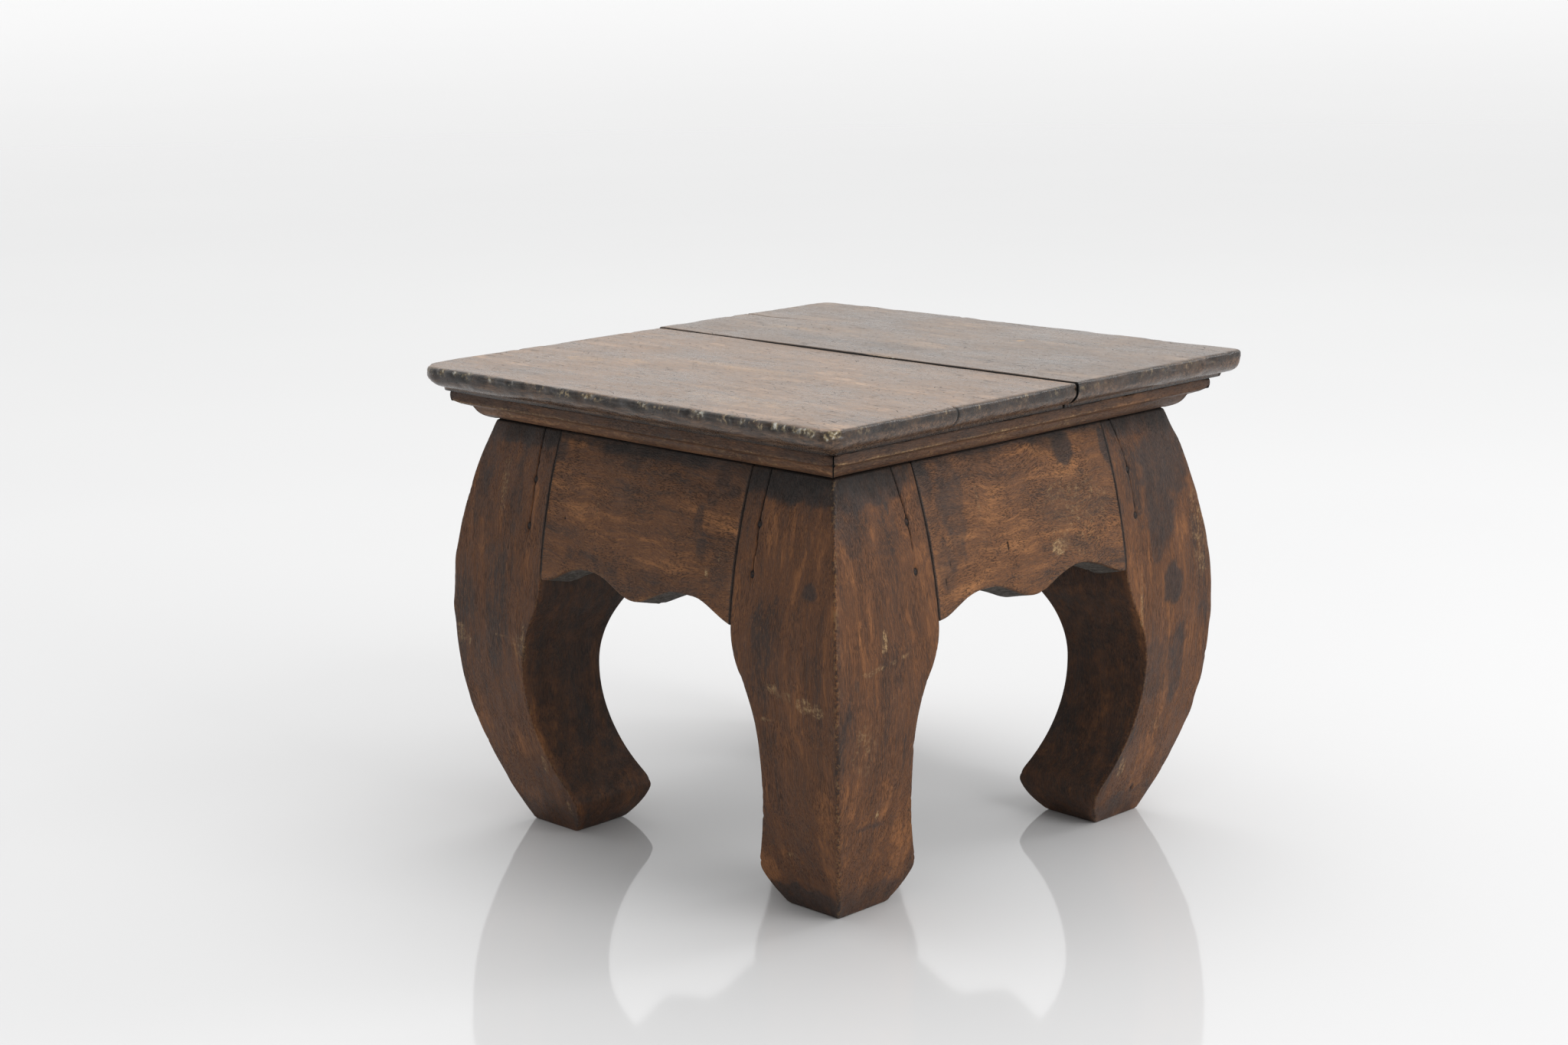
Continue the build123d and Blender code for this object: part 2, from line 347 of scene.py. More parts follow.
def ring_piece(name, rings, caps=(0.7, 0.35)):
    """Closed piece from rings of points; each end is closed by smaller rings and a centre point."""
    size = rings.shape[1]
    start, end = rings[0].mean(0), rings[-1].mean(0)
    layers = [start + (rings[0] - start) * s for s in reversed(caps)]
    layers += list(rings)
    layers += [end + (rings[-1] - end) * s for s in caps]
    vertices = np.concatenate(layers + [start[None], end[None]])
    first, last = len(vertices) - 2, len(vertices) - 1
    faces = []
    for r in range(len(layers) - 1):
        for k in range(size):
            a, b = r * size + k, r * size + (k + 1) % size
            faces.append((a, b, b + size, a + size))
    base = (len(layers) - 1) * size
    for k in range(size):
        faces.append((first, (k + 1) % size, k))
        faces.append((last, base + k, base + (k + 1) % size))
    return make_piece(name, vertices, faces, name.removesuffix("_wood"))


# ---------------------------------------------------------------- legs
SIDE_ARRIS = 0.9 * MM
INNER_ARRIS = 1.0 * MM
OUTER_ARRIS = 1.5 * MM
ARC_TURNS = np.arange(0, 91, 18)
# Places along a leg's faces from 0 to 1, closest together by the arrises and where the nails are.
OUTER_FACE = spaced(
    (0, 0.04, 0.01), (0.04, 0.12, 0.02), (0.12, 0.38, 0.0085), (0.38, 0.9, 0.025), (0.9, 1, 0.014)
)
INNER_FACE = spaced((0, 0.1, 0.025), (0.1, 0.9, 0.04), (0.9, 1, 0.025))


def leg_heights():
    """Heights of a leg's rings, closest together at its ends, its toe and its nails."""
    nails = [height / MM + off for height in NAIL_HEIGHTS for off in (-4, 4)]
    top = LEG_TOP / MM
    heights = spaced(
        (0, 1, 0.25),
        (1, 18, 1.1),
        (18, 23, 0.5),
        (23, nails[0], 1.3),
        (nails[0], nails[1], 0.5),
        (nails[1], nails[2], 1.2),
        (nails[2], nails[3], 0.5),
        (nails[3], top - 2, 1.2),
        (top - 2, top, 0.35),
    )
    return heights * MM


def leg_ring(z, seed):
    """Points round a leg at one height, as reaches along both axes, with its four arrises rounded."""
    worn = 1.2 + 0.8 * noise(np.array([[seed * 7.7, 3.3, z / MM]]), 9.0, 5)[0]
    worn *= 0.5 + 0.5 * min(1, z / (14 * MM))
    end_in = 0.5 * max(0, 0.9 * MM - z) + 0.9 * max(0, 0.8 * MM - (LEG_TOP - z))
    low, high = float(inner_reach(z)) + end_in, float(outer_reach(z)) - end_in
    corners = [
        (low, low, 1, 1, INNER_ARRIS, 180),
        (high, low, -1, 1, SIDE_ARRIS, 270),
        (high, high, -1, -1, OUTER_ARRIS * worn, 0),
        (low, high, 1, -1, SIDE_ARRIS, 90),
    ]
    arcs = []
    for u, v, inward_u, inward_v, radius, start in corners:
        angles = np.radians(start + ARC_TURNS)
        arc_u = u + inward_u * radius + radius * np.cos(angles)
        arc_v = v + inward_v * radius + radius * np.sin(angles)
        arcs.append(np.stack([arc_u, arc_v], 1))
    faces = (INNER_FACE, OUTER_FACE, 1 - OUTER_FACE[::-1], INNER_FACE)
    ring = []
    for arc, following, places in zip(arcs, arcs[1:] + arcs[:1], faces):
        ring += [arc, arc[-1] + (following[0] - arc[-1]) * places[1:-1, None]]
    return np.concatenate(ring)


def make_leg(corner, side_x, side_y, seed):
    rings = []
    for z in leg_heights():
        u, v = leg_ring(z, seed).T
        rings.append(np.stack([side_x * u, side_y * (v + EXTRA_Y), np.full(len(u), z)], 1))
    # the rings run the other way round on mirrored legs
    leg = ring_piece("leg_" + corner + "_wood", np.array(rings)[:, :: side_x * side_y])
    co = points_of(leg.data)
    u, v, z = co[:, 0] * side_x, co[:, 1] * side_y - EXTRA_Y, co[:, 2]
    to_outer_u, to_outer_v = outer_reach(z) - u, outer_reach(z) - v
    from_inner_u, from_inner_v = u - inner_reach(z), v - inner_reach(z)
    from_inner = np.minimum(from_inner_u, from_inner_v)
    side_arris = np.minimum(np.maximum(to_outer_u, from_inner_v), np.maximum(to_outer_v, from_inner_u))
    in_joint = fade(-3, 2, z - BLOCK_FOOT)
    near_outer = bell(np.maximum(to_outer_u, to_outer_v), 1.8)
    near_side = bell(side_arris, 1.8) * (1 - in_joint)
    on_block = bell(from_inner, 1.5) * in_joint
    wave = 0.3 * MM * noise(co, 0.034, seed) + 0.08 * MM * rough_noise(co, 0.009, seed + 1)
    amount = (wave - 0.22 * MM) * (1 - on_block) - 0.12 * MM * on_block
    chips = chipping(co, (3, 3, 4.5), 0.2, 0.8, seed + 2)
    dings = chipping(co, (9, 9, 14), 0.55, 0.9, seed + 5, 2)
    amount -= (0.75 * MM * chips + 0.6 * MM * dings) * np.maximum(near_outer, near_side)
    crack, crater, stain, rub = np.zeros((4, len(co)))
    for face, (across, out) in enumerate(((u, to_outer_v), (v + EXTRA_Y, to_outer_u))):
        on_face = fade(3, 1.2, out)
        nail_at = NAIL_REACH + EXTRA_Y * face
        crack = np.maximum(crack, on_face * drying_crack(corner, face, across - nail_at, z, seed))
        for height in NAIL_HEIGHTS:
            crater = np.maximum(crater, on_face * bell(np.hypot(across - nail_at, (z - height) * 0.7), 1.35))
        marks = (corner, face)
        stain = np.maximum(stain, on_face * blots(across, z, STAINS.get(marks, []), seed + 7))
        rub = np.maximum(rub, on_face * blots(across, z, RUBS.get(marks, []), seed + 8))
        crack = np.maximum(crack, on_face * blots(across, z, GOUGES.get(marks, []), seed + 9))
    push(leg, amount - 1.3 * MM * crack - 0.9 * MM * crater)
    # painted shade: the leg's inner faces, inside the stool, are darkened through the same mask as the dirt
    inside = fade(5, 2.5, from_inner) * fade(0.5, 5, side_arris)
    inside *= 1 - fade(-1, 1, z - BLOCK_FOOT) * fade(2, 0.5, side_arris)
    joint = bell(np.minimum(u, v) - BLOCK_INNER, 1.3) * in_joint
    foot = fade(24, -2, z + 14 * MM * rough_noise(co, 0.018, seed + 7))
    # dirt and painted shade hanging down under the moulding
    under_moulding = 0.85 * soot(co, 24, -4, 16, seed)
    gap = 1.2 * top_line(co, seed)
    paint(
        leg,
        wear=np.maximum(near_outer, 0.5 * near_side * (1 - in_joint)),
        # this mask holds dirt, dark joints and painted shade, on the inner faces and under the moulding
        grime=np.maximum.reduce([under_moulding, 0.3 * foot, 0.64 * inside, joint, gap]),
        stain=stain,
        rub=rub,
        crack=np.maximum(crack, crater),
    )
    return leg


def drying_crack(corner, face, from_nail, z, seed):
    """A crack that runs down from the top of a leg through the nails of one face."""
    lean = 1.4 * MM * math.cos(2.1 * seed + face)
    if (corner, face) == LEANING_CRACK:
        lean = 4.5 * MM
    line = np.stack([z * 0 + face, z * 0, z], 1)
    path = 0.9 * MM * rough_noise(line, 0.012, seed + 3 + face)
    path -= lean * step(NAIL_HEIGHTS[1] - 2 * MM, LEG_TOP + 6 * MM, z)
    width = (0.14 + 0.14 * step(NAIL_HEIGHTS[0], LEG_TOP, z)) * (1.2 + 0.6 * noise(line, 0.006, seed + 12))
    return fade(-10, 6, z - NAIL_HEIGHTS[0]) * bell(from_nail - path, width)


def soot(co, low, high, ragged, seed):
    """Dirt and painted shade that hang down from the moulding, with a ragged lower edge; sizes in mm."""
    return fade(low, high, LEG_TOP - co[:, 2] + ragged * MM * rough_noise(co, 0.024, seed + 6))


def top_line(co, seed):
    """The dark gap right under the moulding."""
    return fade(0.9, 0.3, LEG_TOP - co[:, 2] + 0.4 * MM * noise(co, 0.011, seed + 13))


# ---------------------------------------------------------------- aprons
# An apron leans back with the line from the leg's outline at the apron's foot to its crest.
APRON_END = np.array([float(outer_reach(APRON_FOOT)), APRON_FOOT])
LEAN = math.atan2(APRON_END[0] - CREST_REACH, LEG_TOP - APRON_FOOT)
OUTWARD = np.array([math.cos(LEAN), math.sin(LEAN)])
UPWARD = np.array([-math.sin(LEAN), math.cos(LEAN)])
FACE_Z = np.linspace(LEG_TOP, APRON_FOOT - 2 * MM, 400)
FACE_RISE = (np.stack([outer_reach(FACE_Z), FACE_Z], 1) - APRON_END) @ UPWARD
# Places down an apron's outer face, across its lower edge, up its inner face and across its top.
DOWN_FACE = np.append(np.linspace(0, 0.97, 58), 0.985)
ACROSS_EDGE = np.array([0.006, 0.03, 0.08, 0.16, 0.28, 0.4, 0.52, 0.64, 0.76, 0.88, 0.96, 0.99])[:, None]
UP_INNER = np.linspace(0.02, 1, 26)[:, None]
ACROSS_TOP = np.array([0.2, 0.4, 0.6, 0.8, 0.95])[:, None]


def apron_wave(t):
    """Height of the waved lower edge above its lobes, measured up the leaning face."""
    place = np.abs(np.abs(t) % (2 * LOBE_PITCH) - LOBE_PITCH) / LOBE_PITCH
    return LOBE_DEPTH * (1 - step(0, 1, place**1.25))


def apron_ring(t, half, seed):
    """Points round an apron at one place along it, as (reach, height)."""
    wave = float(apron_wave(t)) + 0.5 * MM * noise(np.array([[t, seed * 1.7, 0.0]]), 0.012, 3)[0]
    bottom_z = np.interp(-wave, -FACE_RISE, FACE_Z)
    edge = np.array([float(outer_reach(bottom_z)), bottom_z])
    inner_edge = APRON_END + UPWARD * wave - OUTWARD * APRON_THICK
    face_z = LEG_TOP + (bottom_z - LEG_TOP) * DOWN_FACE
    outer = np.stack([outer_reach(face_z), face_z], 1)
    under = edge - OUTWARD * ((edge - inner_edge) @ OUTWARD) * ACROSS_EDGE
    under[[0, 1, -1]] += UPWARD * np.array([[0.45], [0.12], [0.5]]) * MM
    inner_top = inner_edge + UPWARD * ((LEG_TOP - inner_edge[1]) / UPWARD[1])
    inner = inner_edge + (inner_top - inner_edge) * UP_INNER
    top = inner_top + (outer[0] - inner_top) * ACROSS_TOP
    ring = np.concatenate([outer, under, inner, top])
    to_middle = ring.mean(0) - ring
    rounded = 0.9 * max(0, 0.6 * MM - (half - abs(t)))
    return ring + to_middle / np.linalg.norm(to_middle, axis=1)[:, None] * rounded


def on_side(side, reach, along, z):
    """Points of a side of the stool, from their distances out from its middle and along the side."""
    out_x, out_y = SIDES[side][0]
    return np.stack(np.broadcast_arrays(out_x * reach - out_y * along, out_y * reach + out_x * along, z), -1)


def side_measures(side, co):
    """Distance out, place along and height of points, as on_side takes them."""
    out_x, out_y = SIDES[side][0]
    return out_x * co[:, 0] + out_y * co[:, 1], out_x * co[:, 1] - out_y * co[:, 0], co[:, 2]


def make_apron(side, seed):
    (out_x, out_y), shift, end_shift = SIDES[side]
    half = BLOCK_INNER + end_shift - 0.12 * MM
    inner, fine = half - 1 * MM, 0.25 * MM
    stations = spaced((-half, -inner, fine), (-inner, inner, 1.1 * MM), (inner, half, fine))
    rings = []
    for t in stations:
        reach, z = apron_ring(t, half, seed).T
        rings.append(on_side(side, reach + shift, t, z))
    apron = ring_piece("apron_" + side + "_wood", np.array(rings))
    co = points_of(apron.data)
    reach, t, z = side_measures(side, co)
    reach = reach - shift
    above_edge = (np.stack([reach, z], 1) - APRON_END) @ UPWARD - apron_wave(t)
    depth = outer_reach(z) - reach
    outside = fade(2, 0.8, depth)
    end_gap = half - np.abs(t)
    lower = bell(above_edge, 1.6)
    chips = chipping(co, 5, 0.3, 0.8, seed + 2)
    # marks are placed along +X or +Y
    marked_at = t * (-out_y if out_y else out_x)
    gouge = outside * blots(marked_at, z, GOUGES.get(side, []), seed + 4)
    amount = 0.3 * MM * noise(co, 0.03, seed) + 0.08 * MM * rough_noise(co, 0.008, seed + 1) - 0.2 * MM
    amount *= fade(-0.2, 3, end_gap) * 0.8 + 0.2
    push(apron, amount - 0.6 * MM * chips * lower - 0.9 * MM * gouge)
    joint = fade(1.6, 0.3, end_gap)
    # dirt and painted shade hanging down under the moulding
    under_moulding = 0.75 * soot(co, 17, -3, 12, seed) * outside
    sawn_edge = fade(1, 2.4, depth) * fade(1.5, 0.4, np.abs(above_edge))
    paint(
        apron,
        wear=0.6 * lower * outside,
        grime=np.maximum.reduce([under_moulding, joint, 1.2 * top_line(co, seed) * outside]),
        stain=outside * blots(marked_at, z, STAINS.get(side, []), seed + 7),
        rub=outside * blots(marked_at, z, RUBS.get(side, []), seed + 8),
        crack=gouge,
        # the unstained underside and inner face, whose colour is darkened as painted shade
        raw=np.maximum(fade(3, 5, depth), sawn_edge),
    )
    return apron


# ---------------------------------------------------------------- moulding strips
FASCIA = BOARD_UNDER - FASCIA_DROP
MOULDING_PLACES = spaced((-1, -0.965, 0.0028), (-0.965, 0.965, 0.0082), (0.965, 1, 0.0028))


def moulding_section(reach, inner):
    """Outline of a strip as (distance out, height), from its inner lower corner outwards and back."""
    foot, cove, cove_top = reach - MOULDING_FOOT_IN, reach - COVE_IN, BOARD_UNDER - COVE_DROP
    section = [(inner + (foot - inner) * s, LEG_TOP) for s in (0, 0.3, 0.6, 0.9)]
    for s in np.linspace(0, 1, 12):
        bow = 1.1 * MM * math.sin(math.pi * s)
        section.append((foot + (cove - foot) * s + bow, LEG_TOP + (cove_top - LEG_TOP) * s - bow * 0.9))
    for s in (0.25, 0.5, 0.75, 0.92, 0.98):
        section.append((cove + (reach - cove) * s, cove_top + (FASCIA - cove_top) * s))
    above_fascia = ((0.15, 0.25), (0, 0.8), (0, 1.6), (0, 2.4), (0, 3.2), (0, 4.0), (0, 4.8))
    below_board = ((0.12, 0.7), (0.45, 0.25), (1.1, 0.02), (3, 0), (8, 0), (16, 0), (26, 0))
    section += [(reach - inset * MM, FASCIA + rise * MM) for inset, rise in above_fascia]
    section += [(reach - inset * MM, BOARD_UNDER - drop * MM) for inset, drop in below_board]
    section += [(inner, BOARD_UNDER), (inner, (BOARD_UNDER + LEG_TOP) / 2)]
    return np.array(section).T


def round_mitres(co):
    """Rounds the outer corners of the frame of strips."""
    centre = np.array([MOULDING_REACH - MITRE_ROUND, MOULDING_REACH + EXTRA_Y - MITRE_ROUND])
    over = np.maximum(np.abs(co[:, :2]) - centre, 0)
    beyond = np.hypot(over[:, 0], over[:, 1])
    in_corner = over.min(1) > 0
    scale = np.where(in_corner & (beyond > MITRE_ROUND), MITRE_ROUND / np.maximum(beyond, 1e-9), 1)
    rounded = np.sign(co[:, :2]) * (centre + over * scale[:, None])
    co[:, :2] = np.where(in_corner[:, None], rounded, co[:, :2])


def make_moulding(side, seed):
    (out_x, out_y), shift, end_shift = SIDES[side]
    reach = MOULDING_REACH + shift
    half = MOULDING_REACH + end_shift - 0.1 * MM
    outs, heights = moulding_section(reach, MOULDING_INNER + shift)
    rings = [on_side(side, outs, s * (half - (reach - outs)), heights) for s in MOULDING_PLACES]
    moulding = ring_piece("moulding_" + side + "_wood", np.array(rings), caps=(0.6,))
    co = points_of(moulding.data)
    out, t, z = side_measures(side, co)
    inset = reach - out
    end_gap = half - inset - np.abs(t)
    round_mitres(co)
    moulding.data.vertices.foreach_set("co", co.ravel())
    moulding.data.update()
    grain = np.array([1.0 + 5 * abs(out_y), 1.0 + 5 * abs(out_x), 1.0])
    at_face = fade(4, 1, inset)
    lower_arris = bell(z - FASCIA, 1.1) * at_face
    upper_arris = bell(BOARD_UNDER - z, 1.0) * fade(3, 1, inset)
    chips = chipping(co, 3 * grain, 0.2, 0.8, seed + 2)
    amount = 0.2 * MM * noise(co, 0.02 * grain, seed) + 0.1 * MM * rough_noise(co, 0.004 * grain, seed + 1)
    amount -= 0.2 * MM + 0.8 * MM * chips * (0.8 * lower_arris + upper_arris)
    amount *= fade(-0.5, 2, end_gap) * 0.7 + 0.3
    # the fascia is worn round at the corners of the frame
    near_corner = bell(np.minimum(half - np.abs(t), 30 * MM), 4) * at_face
    off_middle = (z - FASCIA - FASCIA_DROP / 2) / (FASCIA_DROP / 2)
    amount -= 1.2 * MM * near_corner * np.minimum(1, off_middle**2)
    push(moulding, amount)
    upper = BOARD_UNDER - z + 0.5 * MM * noise(co, 0.02, seed + 4)
    lower = z - LEG_TOP + 0.6 * MM * noise(co, 0.015, seed + 5)
    smudges = chipping(co, 20 * grain, 0.2, 0.8, seed + 9)
    # painted highlight along the fascia's lower arris, and painted bounce light from the floor on the cove,
    # laid on through the mask of rubbed spots
    arris_rub = fade(1.1, 0.4, np.abs(z - FASCIA - 0.2 * MM)) * fade(3, 1, inset)
    cove_rub = fade(0, -2.5, z - FASCIA) * fade(1, 3, z - LEG_TOP)
    rubbed_here = step(-0.9, 0.1, noise(co, 0.02 * grain, seed + 11))
    upper_grime = 0.9 * fade(1.3, 0.1, upper)
    lower_grime = 0.95 * fade(1.5, 0.2, lower)
    gap_under_board = fade(0.75, 0.35, upper + 0.25 * MM * noise(co, 0.006, seed + 12)) * fade(5, 3, inset)
    paint(
        moulding,
        wear=0.5 * lower_arris,
        grime=np.maximum.reduce([upper_grime, lower_grime, 0.7 * near_corner]),
        # painted shade: the fascia under the overhanging seat is painted darker than the cove
        stain=np.maximum(0.65 * smudges, 0.4 * fade(-0.5, 1.5, z - FASCIA)),
        # on the mouldings this mask holds only the painted highlight and the painted bounce light
        rub=np.maximum(0.75 * arris_rub, 0.34 * cove_rub) * rubbed_here,
        crack=np.maximum(bell(end_gap, 0.45), gap_under_board),
    )
    return moulding


# ---------------------------------------------------------------- seat boards
# Distances in from a board's outline, in mm, of the rows of points round it.
EDGE_ROWS = np.array(
    [0, 0.2, 0.5, 0.9, 1.4, 2, 2.8, 3.8, 5, 6.4, 7.8, 8.6, 8.9, 9.6, 10.5, 11.5, 12.5, 13.6, 14.8, 16]
)
WALL_LEVELS = (0.2, 0.4, 0.6, 0.8)


def round_over(distance, radius):
    """Drop of a rounded edge at a distance in from it."""
    d = np.clip(distance, 0, radius)
    return radius - np.sqrt(np.maximum(radius**2 - (radius - d) ** 2, 0))


def corner_radius(x, outer_sign):
    """Radius of the seat's corner that is nearest to a place along X."""
    return np.where(x < 0, CORNER_RADII[(-1, outer_sign)], CORNER_RADII[(1, outer_sign)])


def board_masks(co, seam, outer_sign):
    """Distance in from the outline and from the seam, for every point of a seat board."""
    x, y = co[..., 0], co[..., 1] * outer_sign
    radius = corner_radius(x, outer_sign)
    past_x = np.abs(x) - (SEAT_HALF_X - radius)
    past_y = y - (SEAT_HALF_Y - radius)
    inset = np.minimum(SEAT_HALF_X - np.abs(x), SEAT_HALF_Y - y)
    inset = np.where((past_x > 0) & (past_y > 0), radius - np.hypot(past_x, past_y), inset)
    return inset, y - seam * outer_sign


def board_plan(seam, outer_sign, dense_rows):
    """Plan of a board as two grids, x and y: rows over the middle, then rows out to the outline."""
    out_steps = 1 - EDGE_ROWS[::-1][1:] * MM / CORNER_BLOCK
    inner_x = SEAT_HALF_X - CORNER_BLOCK
    inner_y = SEAT_HALF_Y - CORNER_BLOCK
    xs = spaced((-inner_x, inner_x, 0.95 * MM))
    start = seam * outer_sign
    here = start + 1 * MM
    runs = [(start, start + 0.15 * MM, 0.15 * MM), (start + 0.15 * MM, here, 0.28 * MM)]
    for low, high in dense_rows:
        runs += [(here, low, 1.25 * MM), (low, high, 0.32 * MM)]
        here = high
    ys = spaced(*runs, (here, inner_y, 1.25 * MM))
    # a point is a place in the middle (base) and a part of the way out from it (off)
    off_x = np.concatenate([-out_steps[::-1], np.zeros(len(xs)), out_steps])
    base_x = np.concatenate([np.full(len(out_steps), -inner_x), xs, np.full(len(out_steps), inner_x)])
    off_y = np.concatenate([np.zeros(len(ys)), out_steps])
    base_y = np.concatenate([ys, np.full(len(out_steps), inner_y)])
    off_x, off_y = np.meshgrid(off_x, off_y, indexing="ij")
    base_x, base_y = np.meshgrid(base_x, base_y, indexing="ij")
    # in a corner block, squares shrink on to the arc that rounds the block's outer corner
    square = np.maximum(np.maximum(np.abs(off_x), off_y), 1e-9)
    to_x, to_y = np.abs(off_x) / square, off_y / square
    radius = corner_radius(off_x, outer_sign)
    centre = CORNER_BLOCK - radius
    reach = (to_x + to_y) * centre
    length = to_x**2 + to_y**2
    on_arc = reach + np.sqrt(np.maximum(reach**2 - length * (2 * centre**2 - radius**2), 0))
    on_arc = on_arc / (CORNER_BLOCK * np.maximum(length, 1e-9))
    meets_arc = (np.abs(off_x) > 0) & (off_y > 0) & (CORNER_BLOCK * np.minimum(to_x, to_y) > centre)
    out = CORNER_BLOCK * np.where(meets_arc, on_arc, 1)
    return base_x + off_x * out, (base_y + off_y * out) * outer_sign


def make_board(name, seam, outer_sign, top, seed, dense_rows):
    """Seat board: two sheets, upper and lower, over the same plan, joined round the outline."""
    x, y = board_plan(seam, outer_sign, dense_rows)
    plan = np.stack([x, y, x * 0], 2)
    inset, from_seam = board_masks(plan, seam, outer_sign)
    inset = np.maximum(inset, 0)
    arris_radius = (2.2 + 1.0 * noise(plan.reshape(-1, 3), 0.02, seed)).reshape(x.shape) * MM
    z_top = top - round_over(inset, arris_radius) - round_over(from_seam, 0.7 * MM)
    ovolo = EDGE_FILLET + (OVOLO_RADIUS - EDGE_FILLET) / FILLET_IN * round_over(inset, FILLET_IN)
    z_low = BOARD_UNDER + np.where(inset < FILLET_IN, ovolo, 0) + round_over(from_seam, 0.4 * MM)
    upper = np.stack([x, y, z_top], 2).reshape(-1, 3)
    lower = np.stack([x, y, z_low], 2).reshape(-1, 3)
    grid = np.arange(x.size).reshape(x.shape)
    loop = np.concatenate([grid[:, 0], grid[-1, 1:], grid[::-1, -1][1:], grid[0, ::-1][1:-1]])
    walls = [upper[loop] + (lower[loop] - upper[loop]) * s for s in WALL_LEVELS]
    quads = np.stack([grid[:-1, :-1], grid[1:, :-1], grid[1:, 1:], grid[:-1, 1:]], 2).reshape(-1, 4)
    faces = quads.tolist() + (quads[:, ::-1] + x.size).tolist()
    around = np.arange(len(loop))
    strips = [loop] + [2 * x.size + k * len(loop) + around for k in range(len(walls))] + [loop + x.size]
    for a, b in zip(strips, strips[1:]):
        faces += np.stack([np.roll(a, -1), a, b, np.roll(b, -1)], 1).tolist()
    return make_piece(name + "_wood", np.concatenate([upper, lower] + walls), faces, name)


def crack_line(co, start_x, end_x, y, width, seed):
    """A crack that wanders along the grain and narrows to nothing at its end."""
    along = (co[:, 0] - start_x) / (end_x - start_x)
    line = np.stack([co[:, 0], co[:, 0] * 0, co[:, 0] * 0], 1)
    wander = 2.0 * MM * noise(line, 0.028, seed) + 6 * MM * step(0.3, 1.2, along)
    path = y + wander * step(0, 0.5, along)
    narrowing = width * (1.15 - 0.8 * np.clip(along, 0, 1))
    return np.exp(-(((co[:, 1] - path) / narrowing) ** 2)) * step(1.0, 0.5, along) * step(-0.03, 0.01, along)


def finish_board(board, seam, outer_sign, top, seed, cracks, smudges, rubs, bare):
    """Dents, worn edges and cracks; each crack is (start x, end x, y, width, depth)."""
    co = points_of(board.data)
    inset, from_seam = board_masks(co, seam, outer_sign)
    drop = top - co[:, 2]
    grain = np.array([5.0, 1.0, 1.0])
    on_top = fade(3.2, 1.5, drop)
    arris = bell(inset, 2.3) * fade(5.5, 2.5, drop)
    seam_arris = bell(from_seam, 1.2) * on_top
    dents = chipping(co, (9.9, 4.5, 4.5), 0.5, 0.9, seed + 2, 2)
    nicks = chipping(co, (6, 6, 4.5), 0.15, 0.75, seed + 3, 2)
    gaps = chipping(co, (19, 19, 9), 0.1, 0.8, seed + 4)
    notched = step(-0.4, 0.5, noise(co, 0.024, seed + 15))
    hollows = chipping(co, (10, 10, 4), -0.5, 0.8, seed + 16)
    seam_chips = chipping(co, 6 * grain, 0.3, 0.8, seed + 5)
    chipped = blots(co[:, 0], co[:, 1], bare, seed + 7)
    amount = 0.25 * MM * noise(co, 0.05, seed) * fade(0, 6, inset) - 0.25 * MM
    amount += 0.06 * MM * rough_noise(co, 0.004 * grain, seed + 1) * on_top
    amount -= 0.4 * MM * dents * on_top
    amount -= 0.9 * MM * (nicks * notched + gaps) * arris
    amount -= 0.5 * MM * hollows * fade(7, 2.5, inset) * fade(1, 3, drop)
    amount -= 0.4 * MM * seam_chips * seam_arris
    amount -= 1.1 * MM * chipped * np.maximum(arris, seam_arris) * (0.6 + 0.4 * noise(co, 0.003, seed + 8))
    crack = np.zeros(len(co))
    for start_x, end_x, y, width, depth in cracks:
        line = crack_line(co, start_x, end_x, y, width, seed + 6)
        crack = np.maximum(crack, line)
        amount -= depth * line * np.maximum(on_top, fade(3, 0.5, inset))
    push(board, amount)
    open_seam = fade(0.35, 0.1, from_seam) * fade(0.4, 0.9, drop)
    seam_grime = 0.7 * fade(1.5, 0.4, from_seam) * step(-0.6, 0.6, noise(co, 0.012, seed + 9))
    edge_grime = 0.5 * fade(6, 2, inset + 3 * MM * rough_noise(co, 0.02, seed + 11)) * on_top
    front_edge = SEAT_HALF_Y + co[:, 1] < 4 * MM
    paint(
        board,
        edge=np.maximum(fade(1.4, 3.4, drop), 0.75 * arris) * fade(14, 11, inset),
        # the arris mask also places the seat's painted glints, pale painted highlights
        wear=arris * np.where(front_edge, 1.0, 0.55),
        band=fade(3, 7.5, drop + 1.5 * MM * noise(co, 0.03, seed + 14)),
        grime=np.maximum.reduce([seam_grime, fade(13, 13.4, drop), edge_grime]),
        stain=on_top * blots(co[:, 0], co[:, 1], smudges, seed + 12),
        rub=on_top * blots(co[:, 0], co[:, 1], rubs, seed + 13),
        bare=chipped * np.maximum(arris, seam_arris),
        crack=np.maximum(crack, open_seam),
        dent=dents * on_top,
    )


# ---------------------------------------------------------------- nails
# Rings from the head's crown to the tip of the shank: (half width, depth) in mm, widths times NAIL_HALF.
NAIL_RINGS = (
    (0.0, 0.0), (0.5, 0.05), (0.85, 0.25), (1.0, 0.6), (0.95, 1.0),
    (0.72, 1.25), (0.62, 2.5), (0.3, 30), (0.1, 33.5),
)
NAIL_HALF = 1.55
NAIL_SUNK = 0.45
NAIL_SIDES = 16


